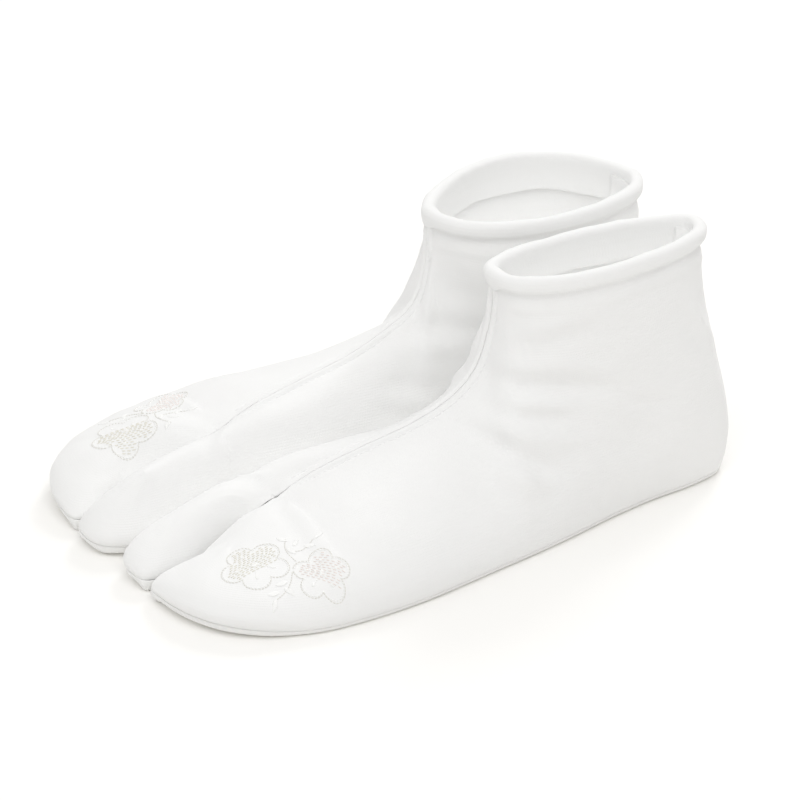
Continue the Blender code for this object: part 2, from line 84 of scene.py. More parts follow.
# Collar, in millimetres
COLLAR_BACK_Z = 94.0
WALL = 1.6             # the solids' wall, over which the hem is folded
HEM_EASE = 0.6         # clear space between the hem and that wall
HEM_CLOTH = 1.2        # wall of the turned hem
LIP_DEPTH = 3.2        # outer lip of the rolled hem
ROLL_HEIGHT = 2.4      # from the cloth's edge to the top of the roll
FACING_DEPTH = 12.0    # inner side of the hem
ROLL_ANGLES = range(0, 181, 20)
# Points of the hem's section: offset outward, and depth against the lip's or the facing's.
# The facing's offsets start from its inner side, and the fold's are plain.
HEM_LIP = ((0.15, 0.25), (0.9, 0.2), (1.45, -0.5), (1.75, -1.6))
HEM_FACING = (
    (0.05, -10.0), (0.25, -7.0), (0.3, -3.0), (0.2, -0.4),
    (0.55, 0.0), (1.2, -0.3), (1.2, -6.0), (1.2, -11.5),
)
HEM_FOLD = ((-0.9, -0.3), (0.1, 0.6))
FACING_SIDE = -1.0     # points with a lower offset belong to the facing
FACING_EDGE = 1.0      # height of the strip at the facing's edge that is wavy
STRIP_WIDTH = 9.0      # seam allowance that shows inside the back of the collar
STRIP_DEPTH = 34.0

Rib = namedtuple("Rib", "sole_x sole_y top rise flare reach lift")
# sole_x, sole_y: where the rib leaves the sole, forward of the heel and outward
# top: where it ends: 0-1 collar from back to front, 1-2 centre front seam from
#      the collar to the toe slit, 2-3 crest of the toe from the slit to its end
# rise, flare: how far it first climbs and how far it leans outward
# reach, lift: how far it runs level, and how far it climbs, from its upper end

OUTER_RIBS = [
    Rib(0.0, 0.0, 0.00, 26.0, 8.0, -4.0, -36.0),
    Rib(1.2, 6.5, 0.07, 26.0, 8.0, -3.0, -36.0),
    Rib(8.0, 13.0, 0.20, 26.0, 8.0, -1.0, -36.0),
    Rib(22.0, 17.2, 0.38, 26.0, 8.0, 0.0, -34.0),
    Rib(39.0, 19.8, 0.56, 26.0, 8.0, 0.0, -34.0),
    Rib(58.0, 24.5, 0.75, 26.0, 7.0, 1.0, -34.0),
    Rib(76.0, 30.2, 0.90, 25.0, 6.0, 4.0, -32.0),
    Rib(91.0, 34.5, 1.00, 24.0, 5.0, 7.0, -26.0),
    Rib(103.0, 37.6, 1.22, 20.0, 5.0, 9.0, -15.0),
    Rib(114.0, 40.2, 1.42, 18.0, 5.0, 12.0, -9.0),
    Rib(130.0, 44.2, 1.62, 17.0, 5.0, 19.0, -2.0),
    Rib(148.0, 48.4, 1.78, 17.0, 5.0, 23.0, 3.0),
    Rib(166.0, 51.0, 1.90, 17.0, 4.5, 24.0, 8.5),
    Rib(180.0, 51.8, 2.00, 17.0, 4.0, 24.0, 9.5),
    Rib(191.0, 51.3, 2.30, 15.0, 4.5, 20.0, 0.5),
    Rib(202.0, 48.2, 2.60, 13.0, 7.0, 14.0, -0.5),
    Rib(213.0, 42.8, 2.85, 11.5, 8.5, 11.0, -1.0),
    Rib(222.4, 33.6, 3.00, 9.5, 8.5, 8.0, -1.0),
    Rib(228.0, 21.0, 3.00, 8.5, 7.0, 8.0, -0.5),
    Rib(230.0, 6.5, 3.00, 7.0, 5.5, 7.0, -1.5),
    Rib(228.5, -4.6, 3.00, 5.0, 0.8, 7.0, -2.5),
    Rib(215.0, -6.4, 2.85, 6.0, 0.4, 7.0, -2.5),
    Rib(205.0, -8.4, 2.60, 13.0, 0.4, 8.0, -2.0),
    Rib(197.0, -9.4, 2.30, 16.0, 0.2, 9.0, -2.0),
    Rib(190.0, -10.3, 2.00, 13.0, 0.0, 7.0, -1.5),
]

INNER_RIBS = [
    Rib(0.0, 0.0, 0.00, 26.0, 8.0, -4.0, -36.0),
    Rib(1.2, -6.5, 0.07, 26.0, 8.0, -3.0, -36.0),
    Rib(8.0, -14.0, 0.20, 26.0, 6.0, -1.0, -36.0),
    Rib(22.0, -19.5, 0.38, 26.0, 3.0, 0.0, -34.0),
    Rib(39.0, -21.5, 0.56, 25.0, 3.0, 0.0, -34.0),
    Rib(58.0, -22.0, 0.75, 24.0, 3.0, 1.0, -34.0),
    Rib(76.0, -22.5, 0.90, 24.0, 3.0, 4.0, -32.0),
    Rib(91.0, -24.0, 1.00, 24.0, 3.0, 7.0, -26.0),
    Rib(103.0, -25.5, 1.22, 22.0, 3.0, 8.0, -14.0),
    Rib(114.0, -27.0, 1.42, 20.0, 3.0, 10.0, -8.0),
    Rib(130.0, -29.5, 1.62, 18.0, 3.0, 11.0, -3.0),
    Rib(148.0, -32.0, 1.78, 17.0, 3.0, 14.0, 5.0),
    Rib(166.0, -33.6, 1.90, 16.0, 2.5, 14.0, 11.0),
    Rib(180.0, -33.8, 2.00, 15.0, 2.0, 14.0, 13.0),
    Rib(191.0, -34.2, 2.30, 13.5, 2.0, 10.0, 2.0),
    Rib(202.0, -34.6, 2.60, 9.0, 1.6, 7.0, -1.0),
    Rib(213.0, -34.8, 2.85, 6.0, 1.3, 6.0, -1.5),
    Rib(221.6, -32.2, 3.00, 5.0, 4.0, 6.0, -2.5),
    Rib(227.8, -26.6, 3.00, 5.5, 5.0, 6.0, -2.5),
    Rib(229.8, -18.5, 3.00, 6.5, 5.0, 7.0, -1.5),
    Rib(227.8, -9.4, 3.00, 6.0, 0.8, 7.0, -1.0),
    Rib(215.0, -8.5, 2.85, 10.0, 0.4, 8.0, 0.0),
    Rib(205.0, -9.8, 2.60, 16.0, 0.4, 8.0, 0.0),
    Rib(197.0, -10.6, 2.30, 18.0, 0.2, 8.0, -1.0),
    Rib(190.0, -10.3, 2.00, 13.0, 0.0, 7.0, -1.5),
]

# Centre front seam from the collar down to the toe slit, evenly numbered from 1 to 2
SeamPoint = namedtuple("SeamPoint", "y left_x left_z right_x right_z")
FRONT_SEAM = [
    SeamPoint(0.0, 94.5, 92.5, 90.5, 93.0),
    SeamPoint(-1.0, 93.6, 82.0, 90.8, 83.0),
    SeamPoint(-2.0, 95.0, 70.5, 92.5, 71.5),
    SeamPoint(-3.0, 99.5, 57.0, 97.5, 60.0),
    SeamPoint(-4.0, 109.0, 47.5, 108.5, 52.5),
    SeamPoint(-5.5, 124.0, 40.5, 124.0, 45.5),
    SeamPoint(-7.5, 144.0, 35.0, 144.0, 40.0),
    SeamPoint(-9.0, 162.0, 29.5, 162.0, 34.5),
    SeamPoint(-10.3, 176.0, 23.0, 176.0, 28.0),
]

# Crest of each toe from the slit to its end, evenly numbered from 2 to 3
CrestPoint = namedtuple("CrestPoint", "x y left_z right_z")
OUTER_CREST = [
    CrestPoint(176.0, -10.3, 23.0, 28.0),
    CrestPoint(185.0, -1.0, 24.5, 29.5),
    CrestPoint(195.0, 5.5, 22.8, 27.5),
    CrestPoint(204.0, 9.0, 20.0, 24.5),
]
INNER_CREST = [
    CrestPoint(176.0, -10.3, 23.0, 28.0),
    CrestPoint(185.0, -18.0, 27.2, 29.6),
    CrestPoint(196.0, -21.5, 25.2, 28.0),
    CrestPoint(207.0, -23.0, 21.5, 26.5),
]

Sock = namedtuple("Sock", "name mirror heel_x heel_y yaw back_x outer inner toes")
Spread = namedtuple("Spread", "width skew bluntness")
Toes = namedtuple("Toes", "sway outer_longer outer_wider inner_longer inner_wider")
# heel_x, heel_y, back_x: the heel's place and how far forward of it the collar begins
# width, skew, bluntness: reach of the collar's bow, its lean to the front, its roundness
# sway: how far the tips lie to the outer side; longer, wider: against the tables above
SOCKS = [
    Sock("left", 1, 0.0, 0.0, 3.5, 9.6,
         Spread(20.0, 0.20, 0.78), Spread(14.0, 0.05, 0.78), Toes(2.0, 1.2, 0.0, 0.8, -0.10)),
    Sock("right", -1, -48.2, 1.8, -3.7, 8.8,
         Spread(34.0, -0.20, 1.4), Spread(27.0, 0.18, 0.9), Toes(-9.0, 2.8, -0.08, 3.8, 0.0)),
]
SIDES = ((1, "outer"), (-1, "inner"))
TOES_START = 185.0     # the ball of the foot, past which the toes differ
TOES_RUN = 45.0
SLIT_Y = -9.0          # middle of the toe slit

# Creases as soft curves through points forward of the heel and up, in millimetres.
# Troughs have a positive depth and ridges a negative one.
Crease = namedtuple("Crease", "sock side half_width depth path")
CREASES = [
    Crease("left", 1, 3.4, 2.5, ((98, 55.6), (94, 56.6), (87, 55.8), (72, 53.3), (54, 48))),
    Crease("left", 1, 3.2, -1.0, ((96, 62.5), (88, 62.5), (74, 61.5), (56, 57))),
    Crease("left", 1, 2.2, -1.2, ((98, 51), (94, 51), (87.5, 50), (74, 46.5))),
    Crease("left", 1, 2.2, 1.4, ((97, 47.2), (91, 46.1), (77, 43))),
    Crease("left", 1, 3.0, -1.3, ((109, 45), (104, 43.2), (97, 41.5), (87, 38), (70, 34))),
    Crease("left", 1, 3.7, 2.6, ((113, 42), (105, 38.4), (99, 35), (93, 31.5), (82, 26))),
    Crease("left", 1, 4.4, -2.0, ((111, 33), (104, 30), (95, 25))),
    Crease("left", 1, 4.0, -0.9, ((92, 73), (79, 77.5), (64, 80.5))),
    Crease("left", 1, 4.0, 0.8, ((90, 69), (78, 72), (61, 74.5))),
    Crease("left", 1, 7.0, 0.8, ((60, 34), (34, 30))),
    Crease("left", 1, 3.0, 0.8, ((56, 45), (42, 41), (30, 39))),
    Crease("left", 1, 2.2, -0.9, ((21.6, 72.5), (16.6, 63.4), (9.0, 54))),
    Crease("left", 1, 2.6, 0.6, ((27, 68), (20, 59), (13, 51))),
    Crease("left", -1, 4.0, 1.6, ((100, 56), (90, 56.5), (76, 54))),
    Crease("left", -1, 3.0, -0.9, ((104, 49), (94, 50), (80, 47.5))),
    Crease("left", -1, 4.0, 1.4, ((110, 40), (100, 37), (86, 33))),
    Crease("left", -1, 5.0, 0.8, ((60, 52), (48, 50), (36, 44))),
    Crease("left", -1, 3.0, -0.7, ((22, 70), (15, 60))),
    Crease("right", 1, 4.5, 1.1, ((93, 58), (84, 58.5), (62, 55))),
    Crease("right", 1, 3.6, -0.5, ((96, 51), (90, 51.5), (76, 49))),
    Crease("right", 1, 4.5, 1.1, ((100, 40), (90, 37), (74, 31))),
    Crease("right", 1, 5.0, 0.8, ((58, 40), (46, 36), (34, 32))),
    Crease("right", 1, 3.0, -0.8, ((22, 70), (14, 58))),
    Crease("right", -1, 4.4, 1.1, ((106, 55.5), (98, 55.5), (86, 54.5), (74, 52))),
    Crease("right", -1, 3.4, -0.6, ((110, 48.5), (100, 48.5), (84, 46))),
    Crease("right", -1, 4.0, 1.1, ((116, 38.5), (106, 37), (94, 34))),
    Crease("right", -1, 3.6, 1.0, ((122, 30), (114, 28.5), (104, 26))),
    Crease("right", -1, 6.0, 0.9, ((96, 68), (80, 66.5), (62, 64))),
    Crease("right", -1, 5.0, 0.7, ((56, 48), (44, 44), (32, 40))),
]
FOLD_FADE = 7.0        # distance over which folds die out at a seam
FOLD_FLOOR = 0.4       # they begin this much of that distance above the ground
FOLD_BLUNTNESS = 2.2   # how suddenly a fold ends along its length

# Soft unevenness of the filled cloth: waves of a given length and height
Wave = namedtuple("Wave", "length height turn phase")
WAVES = [
    Wave(31.0, 0.16, 0.3, 0.4),
    Wave(19.0, 0.10, 1.3, 2.1),
    Wave(13.0, 0.055, 2.2, 4.0),
    Wave(8.5, 0.035, 0.9, 5.2),
]
WAVE_SHIFT = 37.0      # sets the two uppers' waves apart
WAVE_ASPECT = 1.7      # length of a wave's crest against its own length
WAVE_FADE = 5.0        # distance over which waves die out at a seam

# Seams in the formed cloth, in millimetres
SEAM_EASE = 0.4        # how far the open cloth of each upper stays from the middle of a seam
BAND_SPREAD = 0.3      # how much of the raise may push the band sideways
BAND_END = 7.0         # the raised band sinks away over this much before the toe slit
MEET_WIDTH = 1.2       # width over which cut edges close up to SEAM_MEET
SLIT_MEET = 14.0       # the toes are pressed together over this much round the seam's end
BACK_RIDGE = 0.3       # low ridges each side of the back seam
BACK_RIDGE_AT = 1.7    # their distance from the seam
BACK_RIDGE_WIDTH = 0.9
SEAM_SAMPLES = 241
CREASE_SAMPLES = 40
CREST_SAMPLES = 80

# Height of the front seam's band by distance from its middle, in millimetres
BAND_PROFILE = (
    (0.0, 0.45), (0.5, 0.75), (1.3, 0.95), (2.0, 0.7), (2.6, 0.1), (3.0, -0.15), (3.8, 0.0), (60.0, 0.0),
)
STITCH_LINE = 2.9      # the rows of stitches beside the band
STITCH_PITCH = 2.4
STITCH_FILL = 0.72     # share of the pitch that a stitch takes
STITCH_PIT = 0.25      # how deep a stitch is drawn into the cloth
PIT_WIDTH = 0.7
STITCH_LIFT = 0.02
STITCH_START = 0.5     # the first one begins this far along its row
STITCH_BLUNTNESS = 0.8  # under one, the ends of a stitch are blunter than a ball's
STITCH_PLUMPNESS = 0.7  # height of a stitch against its width
STITCHED_TOPS = (1.02, 1.95)  # the rows' ends on the ribs' scale of tops

# Lines that print through below the collar: how far below its edge, height and width
CollarLine = namedtuple("CollarLine", "depth height width")
COLLAR_LINES = [
    CollarLine(5.2, -0.9, 1.8),
    CollarLine(6.8, 0.10, 0.8),
    CollarLine(10.2, 0.18, 1.0),
    CollarLine(13.0, -0.12, 1.4),
]
COLLAR_LINES_END = 1.05

# The roll of the hem is a little uneven: count round the collar, height, phase
HEM_WAVES = ((5, 0.12, 0.3), (9, 0.10, 1.9), (17, 0.06, 4.2), (29, 0.035, 2.5))
FRONT_SEAM_SWELL = 0.55
BACK_SEAM_SWELL = 0.4
SEAM_SWELL_WIDTH = 3.2
SWELL_TURN = -0.8      # the roll swells outward past this offset and inward short of it
SWELL_UP = 0.8         # share of the swelling that lifts the top of the roll
SWELL_INSIDE = 0.4     # share of it that reaches the facing
FACING_WAVE = 0.35
FACING_WAVES = 7
COLLAR_STATIONS = 150

# The flap over the back seam, in millimetres
FLAP_WALL = 0.7
FLAP_GAP = 0.35        # clear space between it and the facing
FLAP_TOP = 1.2         # it begins this far below the edge of the cloth
FLAP_ROWS = 34
FLAP_COLUMNS = 15
FLAP_LIFT = 0.5        # how far its edges stand off
FLAP_WAVE = 0.25

# The turned edge of the sole, in millimetres and degrees
SOLE_TURN_ROWS = 7
SOLE_ROUND_ANGLES = (30, 55, 75, 90)
TURN_REACH = 3.0       # the outline's bends are read over this much each way
TURN_SHARE = 0.6       # share of a bend's radius that the sole may turn in
TURN_STRAIGHT = 0.05   # bends under this angle count as this much, in radians
TURN_EVENING = 20      # passes that even out the way in

# The cloth over the toes' crests, in millimetres
CREST_REACH = (14.0, 5.0)  # width smoothed beside the slit and at the tip
CREST_NARROWS = 0.5    # share of a crest over which that width narrows
CREST_FINEST = 0.3     # shorter sides of the mesh count as this long
CREST_PASSES = 900

# Knit and thread surfaces
GLOSS = 0.25           # specular level of cloth, thread and floor
SHEEN_ROUGHNESS = 0.5
KNIT_ROUGHNESS = 0.95
LOOP_LEAN = 0.3
WALE_RELIEF = 0.35     # height of the columns of loops against that of the rows
LOOP_HEIGHT = 0.00025
PATCH_SCALE = 90.0
SHADE_OF_PATCH = 0.975
NAP_SCALE = 1800.0
NAP_STRENGTH = 0.25
NAP_HEIGHT = 0.0002
THREAD_GRAIN = 6000.0
THREAD_GRAIN_STRENGTH = 0.4
THREAD_GRAIN_HEIGHT = 0.00008
THREAD_SHEEN = 0.3
SEAM_THREAD_ROUGHNESS = 0.6
EMBROIDERY_ROUGHNESS = 0.4

# Embroidery, in millimetres and radians: where the plan's middle lies and how it is turned
HoopPlace = namedtuple("HoopPlace", "x y turn")
EMBROIDERY_PLACES = {"left": HoopPlace(196.5, 33.0, -0.6), "right": HoopPlace(195.0, 14.0, -0.5)}
HOOP_HEIGHT = 60.0
EMBROIDERY_LIFT = 0.08
EMBROIDERY_PLUMPNESS = 0.8
SATIN_PITCH = 0.32
SATIN_START = 0.06     # share of a leaf's length before its first thread
SATIN_SLANT = 0.5      # lean of the threads in a leaf against their half length
LEAF_BELLY = 0.8       # under one, a leaf is widest nearer its root
PETALS = 5
PETAL_DEPTH = 0.38     # share of a blossom's radius that is cut in between its petals
PETAL_BLUNTNESS = 0.6
OUTLINE_POINTS = 240
EDGE_WIDTH = 0.55
EDGE_STITCH = 1.2
EDGES_WIDE = 2.2       # the petals' rows keep this many edge widths inside the outline
ROW_STITCH = 1.3
ROW_GAP = 0.55
ROW_PITCH = 0.95
ROW_EDGE = 0.3
ROWS_FROM = 1.0        # rows begin this far above a blossom's lowest point
ROWS_TO = 0.25         # and end at this share of its radius above its middle
STAMEN_FROM = 1.1
STAMEN_TO = 0.5        # share of the radius
STAMEN_STITCH = 1.0
Tuft = namedtuple("Tuft", "back length width")
ANTHER = Tuft(0.2, 1.5, 1.3)
HEART = Tuft(1.2, 2.4, 2.2)
STEM_STITCH = 1.1
STEM_POINTS = 30
RUN_FILL = 0.85        # share of a running stitch's pitch that its thread takes
Blossom = namedtuple("Blossom", "x y radius turn color row_turn")
BLOSSOMS = [
    Blossom(11.0, -0.5, 12.0, 0.5, "beige", 0.7),
    Blossom(-12.0, 1.5, 10.0, 1.1, "blush", -0.2),
]
Stem = namedtuple("Stem", "x y end_x end_y bow")
STEMS = [
    Stem(-2.0, 2.0, 2.5, 14.5, 0.12),
    Stem(-3.0, -3.0, 1.5, -14.5, 0.15),
    Stem(-2.0, -7.5, -8.0, -13.5, -0.12),
]
Leaf = namedtuple("Leaf", "x y turn length width")
LEAVES = [
    Leaf(-0.8, 6.5, 0.5, 4.6, 2.2),
    Leaf(0.2, 9.0, 2.5, 4.6, 2.2),
    Leaf(1.6, 11.5, 0.4, 4.4, 2.1),
    Leaf(2.5, 14.3, 1.4, 4.4, 2.1),
    Leaf(-2.4, -6.5, 5.6, 4.4, 2.1),
    Leaf(-1.0, -10.5, 4.2, 4.4, 2.1),
    Leaf(0.8, -13.0, 5.9, 4.4, 2.1),
    Leaf(-5.0, -11.0, 2.9, 4.2, 2.0),
    Leaf(-8.0, -13.3, 3.9, 4.2, 2.0),
]

# Camera: turn and tilt in degrees, aim from the left heel and distance in millimetres
CAMERA_TURN = 62.6
CAMERA_TILT = 23.98
CAMERA_AIM = (-8.8, -123.0, 45.1)
CAMERA_DISTANCE = 2034.0
CAMERA_SENSOR = 36.0
LIGHT_BOUNCES = 14     # light is passed on many times between white walls of cloth
ANKLE_GLOW_PLACE = (50.0, 2.0, 32.0)  # forward of the heel, outward and up, in millimetres
ANKLE_GLOW_SIZE = 0.018
LIGHTS_AIM = (0.0, 0.0, 0.03)
FLOOR_ROUGHNESS = 0.9
CAMERA_SIGHT = 20.0    # how far the camera sees, in metres

# Fineness of the cloth
STEPS_BETWEEN_RIBS = 9
CURVE_STEPS = 241
OPEN_ROWS = 78
LIP_ROWS = (0.0, 0.15, 0.35, 0.6, 0.9, 1.3)
BAND_ROWS = (6.0, 5.2, 4.5, 3.9, 3.5, 3.1, 2.8, 2.5, 2.2, 1.9, 1.6, 1.3, 1.0, 0.7, 0.45, 0.2, 0.0)
NEAR_SEAM = (0.0, 0.03, 0.07, 0.12, 0.19, 0.28, 0.4, 0.55, 0.76, 1.0)
EVEN_TOPS = (0.86, 1.34)  # part of the ribs' tops over which the ankle's front is rounded
EVEN_FADE = 0.1
EVEN_DEPTH = 5.0
EVEN_SHARE = 0.5
EVEN_PASSES = 24
NORMAL_COLUMNS = 4     # normals are averaged over this many columns and rows each way
NORMAL_ROWS = 2
TINY = 1e-9
WELD = 1e-7


def spline(rows, at, monotone=False):
    """Smooth curve through evenly numbered rows, read at the numbers in at."""
    rows = np.asarray(rows, float)
    steps = np.diff(rows, axis=0)
    slopes = np.empty_like(rows)
    slopes[0], slopes[-1] = steps[0], steps[-1]
    slopes[1:-1] = (steps[:-1] + steps[1:]) / 2
    if monotone:
        product = steps[:-1] * steps[1:]
        total = np.where(product > 0, steps[:-1] + steps[1:], 1.0)
        slopes[1:-1] = np.where(product > 0, 2 * product / total, 0.0)
    at = np.clip(np.asarray(at, float), 0, len(rows) - 1)
    first = np.minimum(at.astype(int), len(rows) - 2)
    t = (at - first)[:, None]
    start, end = rows[first], rows[first + 1]
    rise = (2 * t**3 - 3 * t**2 + 1) * start + (3 * t**2 - 2 * t**3) * end
    return rise + (t**3 - 2 * t**2 + t) * slopes[first] + (t**3 - t**2) * slopes[first + 1]


def smooth_step(value):
    value = np.clip(value, 0.0, 1.0)
    return value * value * (3 - 2 * value)


def bump(value, width):
    """A soft hill over zero."""
    return np.exp(-(value / width)**2)


def unit(vectors):
    return vectors / np.maximum(np.linalg.norm(vectors, axis=-1, keepdims=True), TINY)


def walked_along(line):
    """How far along a line of points each of them lies."""
    return np.concatenate([[0.0], np.cumsum(np.linalg.norm(np.diff(line, axis=0), axis=1))])


def walked_round(loop):
    """How far round a closed line each of its points lies, and how long the line is."""
    step = np.linalg.norm(np.roll(loop, -1, axis=0) - loop, axis=1)
    return np.concatenate([[0.0], np.cumsum(step)[:-1]]), step.sum()


def read_line(at, walked, line):
    """The places on a line of points at the distances in at."""
    return np.stack([np.interp(at, walked, line[:, axis]) for axis in range(3)], axis=-1)


def under_toes(x):
    """From nothing at the ball of the foot to one at the tips of the toes."""
    return smooth_step((x - TOE_SPRING_START) / TOE_SPRING_RUN)


def sole_edge_height(x):
    """The sole's edge climbs a little under the toes."""
    return SOLE_EDGE + TOE_SPRING * under_toes(x)


def pose_toes(sock, side, points):
    """Points past the ball of the foot, moved sideways and drawn out as the sock's toes lie."""
    points = np.array(points, float)
    far = smooth_step((points[:, 0] - TOES_START) / TOES_RUN)
    toes = sock.toes
    longer = toes.outer_longer if side > 0 else toes.inner_longer
    wider = toes.outer_wider if side > 0 else toes.inner_wider
    points[:, 0] += longer * far
    points[:, 1] += (wider * (points[:, 1] - SLIT_Y) + toes.sway) * far
    return points


def top_line(sock, side, top):
    """Points where the ribs end: on the collar, the front seam or a toe's crest."""
    forward, height = sock.name + "_x", sock.name + "_z"
    seam = [(getattr(p, forward), p.y, getattr(p, height)) for p in FRONT_SEAM]
    crest = [(p.x, p.y, getattr(p, height)) for p in (OUTER_CREST if side > 0 else INNER_CREST)]
    spread = sock.outer if side > 0 else sock.inner
    front_x, front_y, front_z = seam[0]
    turn = np.clip(top, 0, 1) * pi
    along = (1 - np.cos(turn)) / 2
    bow = np.sin(turn) ** spread.bluntness * (1 - spread.skew * np.cos(turn))
    collar = np.stack([
        sock.back_x + (front_x - sock.back_x) * along,
        front_y * along + side * spread.width * bow,
        COLLAR_BACK_Z + (front_z - COLLAR_BACK_Z) * along,
    ], axis=1)
    on_seam = spline(seam, (top - 1) * (len(seam) - 1))
    on_crest = pose_toes(sock, side, spline(crest, (top - 2) * (len(crest) - 1)))
    column = top[:, None]
    return np.where(column <= 1, collar, np.where(column <= 2, on_seam, on_crest))


def fine_numbers(table):
    """Numbers along the ribs, closer together at the seams and on both sides of the toe slit."""
    near = np.array(NEAR_SEAM)
    slit = next(number for number, rib in enumerate(table) if rib.top >= 2.0)
    last = len(table) - 1
    runs = [near]
    for start, end in ((1, slit), (slit + 1, last - 1)):
        runs.append(np.linspace(start, end, (end - start) * STEPS_BETWEEN_RIBS + 1)[1:])
        runs.append((slit + near if start == 1 else last - near[::-1])[1:])
    return np.concatenate(runs)


class Skin:
    """The outer side of one upper, as a grid of points along its ribs, in millimetres."""

    def __init__(self, sock, side):
        self.sock, self.side = sock, side
        table = OUTER_RIBS if side > 0 else INNER_RIBS
        self.at = fine_numbers(table)
        self.sole = pose_toes(sock, side, spline([(r.sole_x, r.sole_y) for r in table], self.at))
        rise, flare, reach, lift = spline([r[3:] for r in table], self.at, monotone=True).T
        self.top = np.interp(self.at, np.arange(len(table)), [r.top for r in table])
        from_collar = smooth_step((self.top - BAND_START) / BAND_RAMP)
        self.on_seam = from_collar * smooth_step((2 - self.top) / BAND_RAMP)
        self.walk_ribs(self.rib_curves(rise, flare, reach, lift))

    def rib_curves(self, rise, flare, reach, lift):
        """Fine points up every rib, and the middle of the seam as the last point."""
        along = np.gradient(self.sole, axis=0)
        along[0] = (0, self.side)
        outward = unit(np.stack([-along[:, 1], along[:, 0]], axis=1) * self.side)
        foot = np.column_stack([self.sole, sole_edge_height(self.sole[:, 0]) + SEAM_GAP])
        middle = top_line(self.sock, self.side, self.top)
        head = middle.copy()
        head[:, 1] += self.side * SEAM_BAND * self.on_seam
        inward = unit(foot[:, :2] - head[:, :2])
        knee = foot + np.column_stack([outward * flare[:, None], rise])
        hip = head + np.column_stack([inward * reach[:, None], lift])
        t = np.linspace(0, 1, CURVE_STEPS)[None, :, None]
        foot, knee, hip, head = (c[:, None, :] for c in (foot, knee, hip, head))
        curve = (1 - t)**3 * foot + 3 * (1 - t)**2 * t * knee + 3 * (1 - t) * t**2 * hip + t**3 * head
        return np.concatenate([curve, middle[:, None, :]], axis=1)

    def walk_ribs(self, curve):
        """Points on each rib: close together at both edges, even in the open cloth."""
        step = np.linalg.norm(np.diff(curve, axis=1), axis=2)
        walked = np.column_stack([np.zeros(len(step)), np.cumsum(step, axis=1)])
        length = walked[:, -1:]
        first, last = LIP_ROWS[-1], length - BAND_ROWS[0]
        evenly = np.linspace(0, 1, OPEN_ROWS + 2)[None, 1:-1]
        stops = np.hstack([
            0 * length + np.array(LIP_ROWS)[None, :],
            first + (last - first) * evenly,
            length - np.array(BAND_ROWS)[None, :],
        ])
        self.up = stops
        self.down = length - stops
        self.points = np.array([read_line(*rib) for rib in zip(stops, walked, curve)])
        self.along = walked_along(self.sole)
        self.even_out()

    def even_out(self):
        """Rounds the front of the ankle, where the collar's ribs give way to the front seam's."""
        near = smooth_step((self.top - EVEN_TOPS[0]) / EVEN_FADE)
        near *= smooth_step((EVEN_TOPS[1] - self.top) / EVEN_FADE)
        weight = EVEN_SHARE * near[:, None] * smooth_step(self.down / EVEN_DEPTH)
        weight *= smooth_step(self.up / EVEN_DEPTH)
        for _ in range(EVEN_PASSES):
            middle = (self.points[:-2] + self.points[2:]) / 2
            self.points[1:-1] += weight[1:-1, :, None] * (middle - self.points[1:-1])

    def normals(self):
        """Outward unit normals at the grid points, evened out where the ribs crowd together."""
        total = np.cross(np.gradient(self.points, axis=0), np.gradient(self.points, axis=1)) * -self.side
        for axis, reach in ((0, NORMAL_COLUMNS), (1, NORMAL_ROWS)):
            count = total.shape[axis]
            total = sum(np.take(total, np.clip(np.arange(count) + step, 0, count - 1), axis)
                        for step in range(-reach, reach + 1))
        return unit(total)

    def near_line(self, line):
        """Distance of every grid point from a fine line, and how far along it that is."""
        flat = self.points.reshape(-1, 3)
        gaps = np.linalg.norm(flat[:, None, :] - line[None, :, :], axis=2)
        walked = walked_along(line)[gaps.argmin(axis=1)]
        shape = self.points.shape[:2]
        return gaps.min(axis=1).reshape(shape), walked.reshape(shape)

    def seam_line(self):
        """The middle of the centre front seam, from the collar to the toe slit."""
        return top_line(self.sock, self.side, np.linspace(1, 2, SEAM_SAMPLES))

    def formed(self, fold_strength):
        """The grid with its seams, the raised band, the collar's lines and the creases."""
        from_front, down_front = self.near_line(self.seam_line())
        from_back = self.near_line(self.points[0])[0]
        from_slit = self.near_line(self.points[-1])[0]
        out = self.normals()
        level = out.copy()
        level[:, :, 1] *= BAND_SPREAD
        level = unit(level)
        end = down_front.max()
        held = smooth_step((end - down_front) / BAND_END)
        band = np.interp(from_front, *zip(*BAND_PROFILE)) * held
        pits = STITCH_PIT * bump(from_front - STITCH_LINE, PIT_WIDTH)
        pits = pits * (0.5 + 0.5 * np.cos(2 * pi * down_front / STITCH_PITCH)) * held
        points = self.points + level * (band - pits)[:, :, None]
        sink = self.crease_depth() * self.fold_room(from_front) * fold_strength
        sink = sink + self.waves(from_front) + self.collar_lines() + self.edge_tucks(from_slit)
        sink = sink + SEAM_TUCK * bump(from_front, TUCK_WIDTH) + self.back_seam(from_back)
        points = points - out * sink[:, :, None]
        meet = np.maximum(bump(from_front, MEET_WIDTH), bump(from_back, MEET_WIDTH))
        meet = np.maximum(meet, bump(from_slit, MEET_WIDTH))
        meet = np.maximum(meet, bump(np.linalg.norm(points - self.seam_line()[-1], axis=2), SLIT_MEET))
        points[:, :, 1] += self.side * (SEAM_EASE + (SEAM_MEET - SEAM_EASE) * meet)
        points[:, 0, 2] -= SEAM_GAP
        return points

    def back_seam(self, from_back):
        """The centre back seam: cut edges turned in between two low ridges."""
        ridge = BACK_RIDGE * bump(from_back - BACK_RIDGE_AT, BACK_RIDGE_WIDTH)
        return SEAM_TUCK * bump(from_back, TUCK_WIDTH) - ridge

    def edge_tucks(self, from_slit):
        """The lower edge dips into the seam with the sole, and the last rib into the slit."""
        return SOLE_TUCK * bump(self.up, TUCK_WIDTH) + SLIT_TUCK * bump(from_slit, TUCK_WIDTH)

